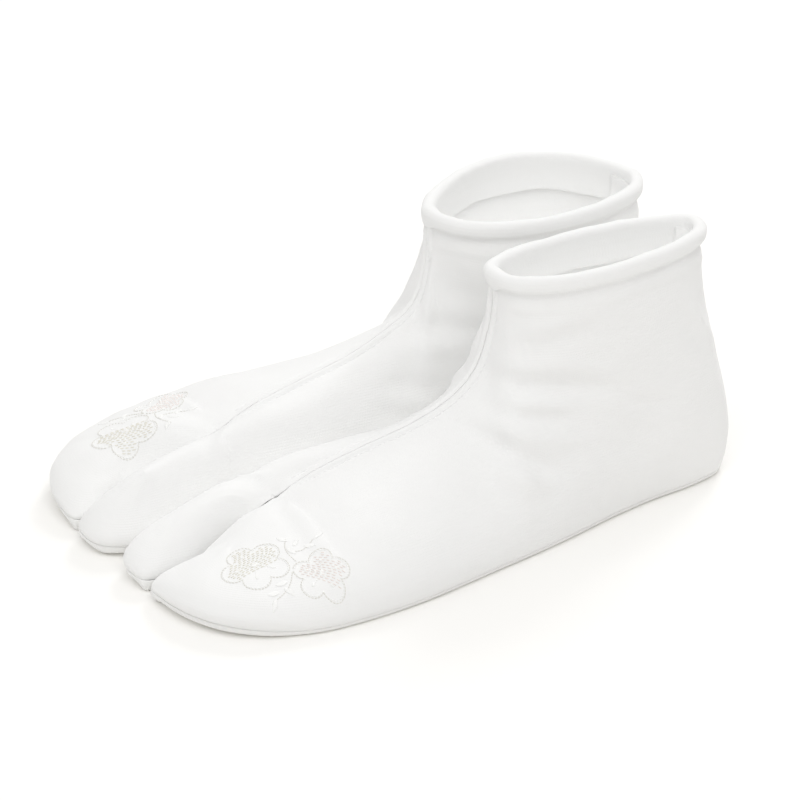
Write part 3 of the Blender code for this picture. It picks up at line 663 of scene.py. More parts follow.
    def collar_lines(self):
        """The facing's edge and its stitching, which print through below the collar."""
        on_collar = smooth_step((COLLAR_LINES_END - self.top) / BAND_RAMP)[:, None]
        raised = sum(line.height * bump(self.down - line.depth, line.width) for line in COLLAR_LINES)
        return -raised * on_collar

    def fold_room(self, from_front):
        """One over the open cloth, fading to nothing at the seams and the collar."""
        low = smooth_step(self.points[:, :, 2] / FOLD_FADE - FOLD_FLOOR)
        high = smooth_step((np.minimum(self.down, from_front + LIP_DEPTH) - LIP_DEPTH) / FOLD_FADE)
        return low * high * smooth_step(self.at / 2)[:, None]

    def crease_depth(self):
        depth = np.zeros(self.points.shape[:2])
        x, z = self.points[:, :, 0], self.points[:, :, 2]
        for crease in CREASES:
            if (crease.sock, crease.side) != (self.sock.name, self.side):
                continue
            count = len(crease.path) - 1
            line = spline(crease.path, np.linspace(0, count, CREASE_SAMPLES))
            gaps = np.hypot(x[..., None] - line[:, 0], z[..., None] - line[:, 1])
            along = gaps.argmin(axis=2) / (CREASE_SAMPLES - 1)
            taper = np.exp(-(FOLD_BLUNTNESS * (along - 0.5))**4)
            depth += crease.depth * taper * bump(gaps.min(axis=2), crease.half_width)
        return depth

    def waves(self, from_front):
        """Soft unevenness of the open cloth."""
        total = np.zeros(self.points.shape[:2])
        around = self.along[:, None] + (WAVE_SHIFT if self.side > 0 else 0.0)
        for wave in WAVES:
            run = around * cos(wave.turn) + self.up * sin(wave.turn)
            other = around * sin(wave.turn) - self.up * cos(wave.turn)
            ripple = np.sin(2 * pi * run / wave.length + wave.phase + self.sock.mirror)
            total += wave.height * ripple * np.cos(2 * pi * other / (WAVE_ASPECT * wave.length))
        room = smooth_step(self.up / WAVE_FADE) * smooth_step(self.down / WAVE_FADE)
        return total * room * smooth_step(from_front / WAVE_FADE)


def sole_line(sock, side, at):
    table = OUTER_RIBS if side > 0 else INNER_RIBS
    return pose_toes(sock, side, spline([(r.sole_x, r.sole_y) for r in table], at))


def turned(sock, points):
    """From a sock's own forward, outward and up to the pair's axes, in millimetres."""
    points = np.asarray(points, float).reshape(-1, 3)
    across, back = points[:, 1] * sock.mirror, -points[:, 0]
    c, s = cos(radians(sock.yaw)), sin(radians(sock.yaw))
    x, y = across * c - back * s, across * s + back * c
    return np.column_stack([x + sock.heel_x, y + sock.heel_y, points[:, 2]])


def find_heel():
    """The left heel's place in the part's frame, from the solid of the left sole."""
    sock, at = SOCKS[0], np.linspace(0, len(OUTER_RIBS) - 1, 2 * len(OUTER_RIBS) - 1)
    line = np.vstack([sole_line(sock, side, at) for side, _ in SIDES])
    line = turned(sock, np.column_stack([line, np.zeros(len(line))]))
    low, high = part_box("left_sole")
    middle = (np.array(low) + np.array(high)) / 2 / MM
    return (middle - (line.min(axis=0) + line.max(axis=0)) / 2)[:2]


HEEL = find_heel()


def placed(sock, points):
    """From a sock's own millimetres to metres in the part's frame."""
    points = turned(sock, points)
    points[:, :2] += HEEL
    return points * MM


def grid_faces(columns, rows, closed=False, tube=False):
    """Quads of a grid numbered column by column, closed round its columns and its rows or not."""
    faces = []
    for column in range(columns if closed else columns - 1):
        start, far = column * rows, (column + 1) % columns * rows
        for row in range(rows if tube else rows - 1):
            above = (row + 1) % rows
            faces.append((start + row, far + row, far + above, start + above))
    return faces


def grid_map(across, up):
    """The cloth's own map for a grid with these columns and rows, in millimetres."""
    return np.stack(np.meshgrid(across, up, indexing="ij"), axis=2).reshape(-1, 2)


def add_mesh(name, points, faces, flip=False, uv=None, weld=WELD):
    """A smooth mesh object in the part's frame, with the cloth's own map in millimetres."""
    mesh = bpy.data.meshes.new(name)
    mesh.from_pydata(np.asarray(points).tolist(), [], faces)
    if uv is not None:
        layer = mesh.uv_layers.new(name="cloth")
        corners = np.zeros(len(mesh.loops), int)
        mesh.loops.foreach_get("vertex_index", corners)
        layer.data.foreach_set("uv", np.asarray(uv, np.float32)[corners].ravel())
    work = bmesh.new()
    work.from_mesh(mesh)
    bmesh.ops.remove_doubles(work, verts=work.verts, dist=weld)
    if flip:
        bmesh.ops.reverse_faces(work, faces=work.faces)
    work.to_mesh(mesh)
    work.free()
    mesh.shade_smooth()
    piece = bpy.data.objects.new(name, mesh)
    bpy.context.scene.collection.objects.link(piece)
    return piece


def finish_piece(piece, material, nodes=()):
    """Gives a finished piece its material, its body and the solids that it stands for."""
    piece.data.materials.clear()
    piece.data.materials.append(material)
    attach(piece, BODY)
    if nodes:
        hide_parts(*nodes)


def thicken(piece, thickness):
    wall = piece.modifiers.new("Cloth", "SOLIDIFY")
    wall.thickness = thickness
    wall.offset = -1.0


def crest_room(places, sock, side):
    """True for the points beside a toe's crest: over a wide strip at the slit, a narrow one ahead."""
    line = placed(sock, top_line(sock, side, np.linspace(2, 3, CREST_SAMPLES)))
    gaps = np.linalg.norm(places[:, None, :] - line[None, :, :], axis=2)
    along = gaps.argmin(axis=1) / (CREST_SAMPLES - 1)
    reach = CREST_REACH[0] + (CREST_REACH[1] - CREST_REACH[0]) * smooth_step(along / CREST_NARROWS)
    return gaps.min(axis=1) < reach * MM


def gather(into, taken, share, values):
    """Sums a share of the values at the taken points into other points."""
    parts = values[taken].T
    return np.column_stack([np.bincount(into, share * part, len(values)) for part in parts])


def drawn_smooth(places, pairs, free, fixed):
    """The points with the free ones moved so that the cloth bends as little as it can."""
    here, there = pairs.T.ravel(), pairs[:, ::-1].T.ravel()
    length = np.linalg.norm(places[here] - places[there], axis=1)
    pull = 1.0 / np.maximum(length, CREST_FINEST * MM)
    taut = np.bincount(here, free[there], len(places)) + free > 0
    taut &= ~fixed
    used = taut[here]
    share = (pull / np.bincount(here, pull, len(places))[here])[used]
    here, there = here[used], there[used]

    def bend(values):
        return (gather(here, there, share, values) - values) * taut[:, None]

    def unbend(values):
        return (gather(there, here, share, values) - values) * free[:, None]

    shift = np.zeros_like(places)
    left = -unbend(bend(places))
    way = left.copy()
    size = (left**2).sum()
    for _ in range(CREST_PASSES):
        turned_back = unbend(bend(way))
        step = size / max((way * turned_back).sum(), TINY**2)
        shift += step * way
        left -= step * turned_back
        size, before = (left**2).sum(), size
        way = left + size / max(before, TINY**3) * way
    return places + shift


def soften_crest(piece, sock, side):
    """Draws the cloth smoothly over a toe's crest, where its ribs meet from both sides."""
    mesh = piece.data
    places = np.zeros(len(mesh.vertices) * 3)
    mesh.vertices.foreach_get("co", places)
    places = places.reshape(-1, 3)
    work = bmesh.new()
    work.from_mesh(mesh)
    fixed = np.array([vertex.is_boundary for vertex in work.verts])
    work.free()
    free = crest_room(places, sock, side) & ~fixed
    pairs = np.array([edge.vertices for edge in mesh.edges])
    places = drawn_smooth(places, pairs, free, fixed)
    mesh.vertices.foreach_set("co", places.ravel())
    mesh.update()


# ---------------------------------------------------------------- materials

def new_material(name, color, roughness, sheen=0.0):
    """A material whose shader has its plain values on its own sockets."""
    material = bpy.data.materials.new(name)
    material.use_nodes = True
    shader = material.node_tree.nodes["Principled BSDF"]
    shader.inputs["Base Color"].default_value = tuple(color) + (1.0,)
    shader.inputs["Roughness"].default_value = roughness
    shader.inputs["Specular IOR Level"].default_value = GLOSS
    shader.inputs["Sheen Weight"].default_value = sheen
    shader.inputs["Sheen Roughness"].default_value = SHEEN_ROUGHNESS
    return material


class Nodes:
    """Short calls for building one material's node tree."""

    def __init__(self, material):
        self.tree = material.node_tree
        self.shader = self.tree.nodes["Principled BSDF"]

    def add(self, kind, **values):
        node = self.tree.nodes.new(kind)
        for key, value in values.items():
            setattr(node, key, value)
        return node

    def join(self, source, target):
        self.tree.links.new(source, target)

    def math(self, operation, first, second=None):
        node = self.add("ShaderNodeMath", operation=operation)
        for place, value in enumerate((first, second)):
            if value is None:
                continue
            if isinstance(value, (int, float)):
                node.inputs[place].default_value = value
            else:
                self.join(value, node.inputs[place])
        return node.outputs[0]

    def noise(self, vector, scale, detail):
        node = self.add("ShaderNodeTexNoise")
        node.inputs["Scale"].default_value = scale
        node.inputs["Detail"].default_value = detail
        self.join(vector, node.inputs["Vector"])
        return node.outputs["Fac"]

    def bump(self, height, strength, distance, normal=None):
        node = self.add("ShaderNodeBump")
        node.inputs["Strength"].default_value = strength
        node.inputs["Distance"].default_value = distance
        self.join(height, node.inputs["Height"])
        if normal is not None:
            self.join(normal, node.inputs["Normal"])
        return node.outputs["Normal"]

    def tint(self, factor, low, high):
        node = self.add("ShaderNodeMix", data_type="RGBA")
        self.join(factor, node.inputs["Factor"])
        node.inputs[6].default_value = tuple(low) + (1.0,)
        node.inputs[7].default_value = tuple(high) + (1.0,)
        self.join(node.outputs[2], self.shader.inputs["Base Color"])


def knit_height(nodes, course, wale):
    """Rows of small loops along the cloth's own map, which is in millimetres."""
    split = nodes.add("ShaderNodeSeparateXYZ")
    nodes.join(nodes.add("ShaderNodeTexCoord").outputs["UV"], split.inputs[0])
    across = nodes.math("MULTIPLY", split.outputs["X"], 2 * pi / wale)
    lean = nodes.math("MULTIPLY", nodes.math("COSINE", across), LOOP_LEAN)
    up = nodes.math("ADD", nodes.math("MULTIPLY", split.outputs["Y"], 2 * pi / course), lean)
    courses = nodes.math("COSINE", up)
    wales = nodes.math("MULTIPLY", nodes.math("COSINE", nodes.math("MULTIPLY", across, 2.0)), WALE_RELIEF)
    return nodes.math("ADD", courses, wales)


def knit_material(name, color, settings):
    """Soft, napped knit: fine courses that show more in some places than in others."""
    material = new_material(name, color, KNIT_ROUGHNESS, settings.sheen)
    nodes = Nodes(material)
    loops = knit_height(nodes, settings.course / MM, settings.wale / MM)
    solid = nodes.add("ShaderNodeTexCoord").outputs["Object"]
    shown = nodes.math("MULTIPLY", loops, nodes.noise(solid, PATCH_SCALE, 2.0))
    knit = nodes.bump(shown, settings.knit_depth, LOOP_HEIGHT)
    napped = nodes.bump(nodes.noise(solid, NAP_SCALE, 4.0), NAP_STRENGTH, NAP_HEIGHT, knit)
    nodes.join(napped, nodes.shader.inputs["Normal"])
    low = [value * SHADE_OF_PATCH for value in color]
    nodes.tint(nodes.noise(solid, PATCH_SCALE / 2, 3.0), low, color)
    return material


def thread_material(name, color, roughness):
    """Twisted thread: a fine slanting grain."""
    material = new_material(name, color, roughness, THREAD_SHEEN)
    nodes = Nodes(material)
    grain = nodes.noise(nodes.add("ShaderNodeTexCoord").outputs["Object"], THREAD_GRAIN, 2.0)
    bumps = nodes.bump(grain, THREAD_GRAIN_STRENGTH, THREAD_GRAIN_HEIGHT)
    nodes.join(bumps, nodes.shader.inputs["Normal"])
    return material


def shared_material(name, make):
    """A material by name, made the first time that it is asked for."""
    found = bpy.data.materials.get(name)
    return found if found is not None else make(name)


def white_knit(context):
    cloth = context.scene.tabi_cloth
    return shared_material("white_knit_cloth", lambda name: knit_material(name, cloth.knit_color, cloth))


def sole_knit(context):
    cloth = context.scene.tabi_cloth
    return shared_material("white_sole_knit", lambda name: knit_material(name, cloth.sole_color, cloth))


# ---------------------------------------------------------------- the cloth pieces

SKINS = {}


def skin_of(sock, side):
    """The upper's skin, worked out once."""
    key = (sock.name, side)
    if key not in SKINS:
        SKINS[key] = Skin(sock, side)
    return SKINS[key]


def make_upper(sock, side, side_name, cloth, material):
    skin = skin_of(sock, side)
    points = skin.formed(cloth.fold_strength)
    uv = np.stack(np.broadcast_arrays(skin.along[:, None], skin.up), axis=2).reshape(-1, 2)
    piece = add_mesh(f"{sock.name}_{side_name}_panel", placed(sock, points), grid_faces(*points.shape[:2]),
                     side * sock.mirror > 0, uv)
    soften_crest(piece, sock, side)
    thicken(piece, cloth.wall)
    finish_piece(piece, material, [f"{sock.name}_{side_name}_upper"])


def inset_outline(outline, amount):
    """The closed outline moved inward by an amount for each point."""
    ahead = unit(np.roll(outline, -1, axis=0) - outline)
    behind = unit(outline - np.roll(outline, 1, axis=0))
    along = unit(ahead + behind)
    inward = np.stack([along[:, 1], -along[:, 0]], axis=1)
    for _ in range(TURN_EVENING):
        inward = unit(np.roll(inward, 1, axis=0) + 2 * inward + np.roll(inward, -1, axis=0))
    return outline + inward * np.reshape(amount, (-1, 1))


def room_inward(outline):
    """How far each point of the closed outline can move inward before its neighbours meet."""
    walked, around = walked_round(outline)

    def at(where):
        return np.column_stack([np.interp(where, walked, part, period=around) for part in outline.T])

    ahead, behind = at(walked + TURN_REACH) - outline, outline - at(walked - TURN_REACH)
    side = behind[:, 1] * ahead[:, 0] - behind[:, 0] * ahead[:, 1]
    bend = np.arctan2(side, (ahead * behind).sum(axis=1))
    return TURN_SHARE * TURN_REACH / np.maximum(bend, TURN_STRAIGHT)


def sole_rings(outline):
    """Rings of the sole from its flat underside up the turned edge and into the seam."""
    edge = sole_edge_height(outline[:, 0])
    turn_in = np.minimum(SOLE_TURN + TOE_TURN * under_toes(outline[:, 0]), room_inward(outline))
    rings = []
    for angle in np.linspace(0, 90, SOLE_TURN_ROWS):
        ring = inset_outline(outline, turn_in * (1 - sin(radians(angle))))
        rings.append(np.column_stack([ring, (edge - SOLE_ROUND) * (1 - cos(radians(angle)))]))
    for angle in SOLE_ROUND_ANGLES:
        ring = inset_outline(outline, SOLE_ROUND * (1 - cos(radians(angle))))
        rings.append(np.column_stack([ring, edge - SOLE_ROUND * (1 - sin(radians(angle)))]))
    return np.stack(rings, axis=1)


def make_sole(sock, cloth, material):
    outer, inner = (skin_of(sock, side).sole for side, _ in SIDES)
    points = sole_rings(np.vstack([outer, inner[-2:0:-1]]))
    columns, rows = points.shape[:2]
    faces = grid_faces(columns, rows, closed=True)
    faces.append(tuple(column * rows for column in reversed(range(columns))))
    uv = points.reshape(-1, 3)[:, 1::-1]
    piece = add_mesh(f"{sock.name}_sole_panel", placed(sock, points), faces, sock.mirror > 0, uv)
    thicken(piece, cloth.wall)
    finish_piece(piece, material, [f"{sock.name}_sole"])


# ---------------------------------------------------------------- the collar

def below_top(skin, points, kept, depth):
    """The points at a depth below the upper end of each kept rib."""
    ribs = zip(skin.down[kept], points[kept])
    return np.array([read_line(depth, down[::-1], rib[::-1]) for down, rib in ribs])


def collar_line(sock, depth):
    """The closed line of skin points at a depth below the collar, and its outward normals."""
    skins = [skin_of(sock, side) for side, _ in SIDES]
    outer, inner = (below_top(skin, skin.points, skin.top <= 1.0, depth) for skin in skins)
    loop = resampled(np.vstack([outer, inner[-2:0:-1]]), COLLAR_STATIONS)
    along = np.roll(loop, -1, axis=0) - np.roll(loop, 1, axis=0)
    out = unit(np.stack([-along[:, 1], along[:, 0]], axis=1))
    return loop, np.column_stack([out, np.zeros(len(out))])


def resampled(loop, count):
    """A closed line with its points evenly spaced, starting from the same point."""
    closed = np.vstack([loop, loop[:1]])
    walked = walked_along(closed)
    return read_line(np.linspace(0, walked[-1], count, endpoint=False), walked, closed)


def hem_section():
    """Offset and depth round the hem: a plump roll outside and a thin facing inside."""
    back, outer = -(WALL + HEM_EASE) - HEM_CLOTH, HEM_EASE + HEM_CLOTH
    middle, half = (outer + back) / 2, (outer - back) / 2
    lip = [(offset, LIP_DEPTH + depth) for offset, depth in HEM_LIP]
    roll = [(middle + half * cos(radians(a)), -ROLL_HEIGHT * sin(radians(a))) for a in ROLL_ANGLES]
    facing = [(back + offset, FACING_DEPTH + depth) for offset, depth in HEM_FACING]
    return lip + roll + facing + list(HEM_FOLD)


def hem_unevenness(sock, loop):
    """How much the roll swells at each station: soft waves, and the seams that it crosses."""
    walked, around = walked_round(loop)
    swell = np.zeros(len(loop))
    for count, height, phase in HEM_WAVES:
        swell += height * np.sin(2 * pi * count * walked / around + phase + sock.mirror)
    front = loop[:, 0].argmax()
    for place, height in ((walked[front], FRONT_SEAM_SWELL), (0.0, BACK_SEAM_SWELL)):
        gap = np.abs(walked - place)
        swell += height * bump(np.minimum(gap, around - gap), SEAM_SWELL_WIDTH)
    return swell


def hem_rows(sock):
    """The closed lines of the hem, one for each point of its section."""
    swell = hem_unevenness(sock, collar_line(sock, 0.0)[0])
    rows = []
    for offset, depth in hem_section():
        loop, out = collar_line(sock, max(depth, 0.0))
        share = 1 if offset > FACING_SIDE else SWELL_INSIDE
        rolled = smooth_step((LIP_DEPTH - depth) / LIP_DEPTH) * share
        row = loop + out * (offset + np.sign(offset - SWELL_TURN) * swell * rolled)[:, None]
        if depth < 0:
            row[:, 2] += swell * SWELL_UP - depth
        if depth > FACING_DEPTH - FACING_EDGE:
            row[:, 2] += FACING_WAVE * np.sin(np.arange(len(row)) * 2 * pi * FACING_WAVES / len(row))
        rows.append(row)
    return rows


def make_hem(sock, material):
    """The turned hem: a soft roll over the collar's edge and the facing inside it."""
    points = np.stack(hem_rows(sock), axis=1)
    columns, rows = points.shape[:2]
    pitch = np.linalg.norm(points - np.roll(points, -1, axis=0), axis=2).mean()
    piece = add_mesh(f"{sock.name}_rolled_hem", placed(sock, points), grid_faces(columns, rows, True, True),
                     sock.mirror < 0, grid_map(np.arange(columns) * pitch, np.arange(rows)))
    smooth = piece.modifiers.new("Soft", "SUBSURF")
    smooth.levels = smooth.render_levels = 1
    finish_piece(piece, material, [f"{sock.name}_collar_hem"])


def flap_row(sock, depth, across):
    """Points across the flap at one depth, from one edge to the other."""
    loop, out = collar_line(sock, depth)
    count = len(loop)
    stations = across * STRIP_WIDTH / (walked_round(loop)[1] / count)
    base = np.floor(stations).astype(int)
    part = (stations - base)[:, None]
    here, beside = base % count, (base + 1) % count
    line = loop[here] * (1 - part) + loop[beside] * part
    outward = unit(out[here] * (1 - part) + out[beside] * part)
    lifted = FLAP_LIFT * np.abs(across)**6 + FLAP_WAVE * np.sin(depth * 0.5 + across * 2.0)
    return line - outward * (WALL + HEM_EASE + HEM_CLOTH + FLAP_GAP + lifted)[:, None]


def make_back_flap(sock, material):
    """The seam allowance that covers the back seam inside the collar, a little lifted at its edges."""
    depths = np.linspace(FLAP_TOP, STRIP_DEPTH, FLAP_ROWS)
    across = np.linspace(-1, 1, FLAP_COLUMNS)
    points = np.stack([flap_row(sock, depth, across) for depth in depths], axis=1)
    piece = add_mesh(f"{sock.name}_back_flap", placed(sock, points), grid_faces(*points.shape[:2]),
                     sock.mirror > 0, grid_map(across * STRIP_WIDTH, depths))
    thicken(piece, FLAP_WALL * MM)
    finish_piece(piece, material, [f"{sock.name}_back_strip"])


# ---------------------------------------------------------------- stitches

def stitch_shape():
    """Points and faces of one stitch: a plump drop of thread, 1 long, 1 wide and 1 high."""
    bpy.ops.object.select_all(action="DESELECT")
    bpy.ops.mesh.primitive_uv_sphere_add(segments=8, ring_count=6, radius=0.5, rotation=(0.0, pi / 2, 0.0))
    item = bpy.context.object
    bpy.ops.object.transform_apply(location=True, rotation=True, scale=True)
    points = np.array([vertex.co for vertex in item.data.vertices])
    faces = [tuple(face.vertices) for face in item.data.polygons]
    mesh = item.data
    bpy.data.objects.remove(item)
    bpy.data.meshes.remove(mesh)
    points[:, 0] = np.sign(points[:, 0]) * 0.5 * (2 * np.abs(points[:, 0]))**STITCH_BLUNTNESS
    return points, faces


Stitch = namedtuple("Stitch", "start end up")


def sew(name, stitches, width, plumpness, material):
    """One joined mesh with a copy of the stitch for every row of the list."""
    shape, faces = stitch_shape()
    starts = np.array([stitch.start for stitch in stitches])
    ends = np.array([stitch.end for stitch in stitches])
    run = ends - starts
    ups = unit(np.array([stitch.up for stitch in stitches]))
    sides = unit(np.cross(ups, run))
    ups = unit(np.cross(run, sides))
    middle = (starts + ends) / 2
    points = (middle[:, None, :] + shape[None, :, 0, None] * run[:, None, :]
              + shape[None, :, 1, None] * sides[:, None, :] * width
              + shape[None, :, 2, None] * ups[:, None, :] * (width * plumpness))
    all_faces = [tuple(index + number * len(shape) for index in face)
                 for number in range(len(stitches)) for face in faces]
    piece = add_mesh(name, points.reshape(-1, 3), all_faces, weld=TINY)
    finish_piece(piece, material)


def frames_along(line, normals, pitch, fill, start=0.0):
    """Stitches of an even pitch along a fine line of points."""
    walked = walked_along(line)
    stitches = []
    place = start
    while place + pitch * fill <= walked[-1]:
        first, last = read_line(np.array([place, place + pitch * fill]), walked, line)
        stitches.append(Stitch(first, last, read_line(place + pitch * fill / 2, walked, normals)))
        place += pitch
    return stitches


def surface_of(piece):
    """A searchable copy of the outer side of a panel, without its thickness."""
    corners = [vertex.co for vertex in piece.data.vertices]
    return BVHTree.FromPolygons(corners, [tuple(face.vertices) for face in piece.data.polygons])


def on_surface(tree, points, lift):
    """The nearest places on a surface, lifted off it, and its normals there."""
    places, normals = [], []
    for point in points:
        place, normal, _, _ = tree.find_nearest(Vector(point))
        places.append(np.array(place) + np.array(normal) * lift)
        normals.append(np.array(normal))
    return np.array(places), np.array(normals)


def make_front_stitches(sock, cloth, thread):
    """A row of stitches down each side of the raised front seam."""
    stitches = []
    for side, side_name in SIDES:
        skin = skin_of(sock, side)
        tree = surface_of(bpy.data.objects[f"{sock.name}_{side_name}_panel"])
        beside = (skin.top > STITCHED_TOPS[0]) & (skin.top < STITCHED_TOPS[1])
        line = below_top(skin, skin.formed(cloth.fold_strength), beside, STITCH_LINE)
        places, normals = on_surface(tree, placed(sock, line), STITCH_LIFT * MM)
        stitches += frames_along(places, normals, STITCH_PITCH * MM, STITCH_FILL, STITCH_START * MM)
    material = shared_material(
        "seam_thread", lambda name: thread_material(name, thread.seam_color, SEAM_THREAD_ROUGHNESS))
    sew(f"{sock.name}_front_seam_stitches", stitches, thread.seam_width, STITCH_PLUMPNESS, material)


# ---------------------------------------------------------------- embroidery

def blossom_outline(radius, turn):
    """The outline of a plum blossom with five round petals, about its middle."""
    angle = np.linspace(0, 2 * pi, OUTLINE_POINTS)
    petals = np.abs(np.cos(PETALS / 2 * (angle - turn)))**PETAL_BLUNTNESS
    reach = radius * (1 - PETAL_DEPTH + PETAL_DEPTH * petals)
    return np.stack([reach * np.cos(angle), reach * np.sin(angle)], axis=1)


def compass(turn):
    return np.array([cos(turn), sin(turn)])


class Hoop:
    """Lays stitches drawn on a plan, in millimetres, down on the cloth over one sock's toes."""

    def __init__(self, sock):
        self.sock = sock
        self.tree = surface_of(bpy.data.objects[f"{sock.name}_outer_panel"])
        self.place = EMBROIDERY_PLACES[sock.name]
        self.work = {"satin": [], "beige": [], "blush": [], "outline": []}

    def lay(self, plan):
        """The places on the cloth under points of the plan, and its normals there."""
        along, across = compass(self.place.turn), compass(self.place.turn + pi / 2)
        plan = np.asarray(plan, float)
        flat = plan[:, :1] * along + plan[:, 1:] * across + np.array([self.place.x, self.place.y])
        places, normals = [], []
        for point in placed(self.sock, np.column_stack([flat, np.full(len(flat), HOOP_HEIGHT)])):
            place, normal, _, _ = self.tree.ray_cast(Vector(point), Vector((0.0, 0.0, -1.0)))
            if place is None:
                raise RuntimeError("an embroidery stitch misses the cloth")
            normal = np.array(normal) * (1 if normal.z > 0 else -1)
            places.append(np.array(place) + normal * EMBROIDERY_LIFT * MM)
            normals.append(normal)
        return np.array(places), np.array(normals)

    def run(self, color, line, pitch):
        """Running stitches along a line of the plan."""
        places, normals = self.lay(line)
        self.work[color] += frames_along(places, normals, pitch * MM, RUN_FILL)

    def stitch(self, color, start, end):
        places, normals = self.lay([start, end])
        self.work[color].append(Stitch(places[0], places[1], normals[0] + normals[1]))

    def stem(self, start, end, bow):
        """A thin bowed stem."""
        part = np.linspace(0, 1, STEM_POINTS)[:, None]
        start, end = np.array(start, float), np.array(end, float)
        side = np.array([start[1] - end[1], end[0] - start[0]])
        self.run("outline", start + (end - start) * part + side * bow * np.sin(pi * part), STEM_STITCH)

    def leaf(self, root, turn, length, width):
        """A satin-stitch leaf: close threads that slant across it."""
        direction, across = compass(turn), compass(turn + pi / 2)
        for part in np.arange(SATIN_START, 1.0, SATIN_PITCH / length):
            half = width / 2 * sin(pi * part**LEAF_BELLY)
            middle = np.array(root) + direction * length * part
            slant = direction * half * SATIN_SLANT
            self.stitch("satin", middle - across * half - slant, middle + across * half + slant)

    def rows(self, color, middle, outline, turn, heights):
        """Rows of running stitches inside an outline about its middle."""
        along, across = compass(turn), compass(turn + pi / 2)
        low_high = outline @ np.column_stack([along, across])
        for number, height in enumerate(heights):
            over = low_high[:, 1] - height
            change = np.flatnonzero(over[:-1] * over[1:] < 0)
            ends = np.sort(low_high[change, 0])
            base, pitch = middle + across * height, ROW_STITCH + ROW_GAP
            shift = (number % 2) * pitch / 2
            for first, last in zip(ends[::2], ends[1::2]):
                for start in np.arange(first + ROW_EDGE + shift, last - ROW_EDGE - ROW_STITCH, pitch):
                    self.stitch(color, base + along * start, base + along * (start + ROW_STITCH))

    def blossom(self, middle, radius, turn, color, row_turn):
        """A plum blossom: a satin edge, rows of thread in the petals, a heart and stamens."""
        middle, outline = np.array(middle, float), blossom_outline(radius, turn)
        self.run("outline", middle + outline, EDGE_STITCH)
        self.run("satin", middle + outline * (1 - EDGE_WIDTH / radius), EDGE_STITCH)
        inner = outline * (1 - EDGES_WIDE * EDGE_WIDTH / radius)
        heights = np.arange(-radius + ROWS_FROM, radius * ROWS_TO, ROW_PITCH)
        self.rows(color, middle, inner, row_turn, heights)
        for petal in range(PETALS):
            angle = turn + petal * 2 * pi / PETALS
            tip = middle + compass(angle) * radius * STAMEN_TO
            self.run("satin", [middle + compass(angle) * STAMEN_FROM, tip], STAMEN_STITCH)
            self.tuft(tip, angle, ANTHER)
        self.tuft(middle, turn, HEART)

    def tuft(self, place, turn, tuft):
        """A small leaf that begins a little before a place."""
        self.leaf(place - compass(turn) * tuft.back, turn, tuft.length, tuft.width)


def make_embroidery(sock, thread):
    """Two plum blossoms with leaf sprigs."""
    hoop = Hoop(sock)
    for row in BLOSSOMS:
        hoop.blossom((row.x, row.y), row.radius, row.turn, row.color, row.row_turn)
    for row in STEMS:
        hoop.stem((row.x, row.y), (row.end_x, row.end_y), row.bow)
    for row in LEAVES:
        hoop.leaf((row.x, row.y), row.turn, row.length, row.width)
    width = thread.embroidery_width
    for color, stitches in hoop.work.items():
        material = shared_material(f"{color}_thread", lambda name: thread_material(
            name, getattr(thread, f"{color}_color"), EMBROIDERY_ROUGHNESS))
        sew(f"{sock.name}_embroidery_{color}", stitches, width, EMBROIDERY_PLUMPNESS, material)


# ---------------------------------------------------------------- the stage

def make_floor(stage):
    bpy.ops.mesh.primitive_plane_add(size=stage.floor_size)
    floor = bpy.context.object
    floor.name = "studio_floor"
    material = new_material("studio_floor_white", stage.floor_color, FLOOR_ROUGHNESS)
    floor.data.materials.append(material)


def add_light(name, energy, size, place, aim):
    """A soft square light that faces a point, itself unseen."""
    data = bpy.data.lights.new(name, "AREA")
    data.energy = energy
    data.size = size
    light = bpy.data.objects.new(name, data)
    bpy.context.scene.collection.objects.link(light)
    light.location = place
    light.rotation_euler = (Vector(aim) - Vector(place)).to_track_quat("-Z", "Y").to_euler()
    light.visible_camera = False


def brighten_overhead(world, background, stage):
    """The surround grows brighter from the horizon up to the point overhead."""
    tree = world.node_tree
    place = tree.nodes.new("ShaderNodeTexCoord")
    split = tree.nodes.new("ShaderNodeSeparateXYZ")
    ramp = tree.nodes.new("ShaderNodeMapRange")
    ramp.inputs["To Min"].default_value = stage.horizon
    ramp.inputs["To Max"].default_value = stage.overhead
    tree.links.new(place.outputs["Generated"], split.inputs[0])
    tree.links.new(split.outputs["Z"], ramp.inputs["Value"])
    tree.links.new(ramp.outputs["Result"], background.inputs["Strength"])


def light_stage(stage):
    """A white surround, softboxes behind, in front and before the toes, and a glow in each ankle."""
    world = bpy.data.worlds.new("studio")
    world.use_nodes = True
    background = world.node_tree.nodes["Background"]
    background.inputs["Color"].default_value = tuple(stage.surround_color) + (1.0,)
    brighten_overhead(world, background, stage)
    bpy.context.scene.world = world
    add_light("back_softbox", stage.back_power, stage.back_size, stage.back_place, LIGHTS_AIM)
    add_light("front_softbox", stage.front_power, stage.front_size, stage.front_place, LIGHTS_AIM)
    add_light("toe_softbox", stage.toe_power, stage.toe_size, stage.toe_place, LIGHTS_AIM)
    for sock in SOCKS:
        low, high = placed(sock, [ANKLE_GLOW_PLACE, ANKLE_GLOW_PLACE[:2] + (COLLAR_BACK_Z,)])
        add_light(f"{sock.name}_ankle_glow", stage.glow_power, ANKLE_GLOW_SIZE, low, high)
    scene = bpy.context.scene
    scene.view_settings.view_transform = "Standard"
    scene.view_settings.look = "None"
    scene.cycles.max_bounces = LIGHT_BOUNCES
    scene.cycles.diffuse_bounces = LIGHT_BOUNCES


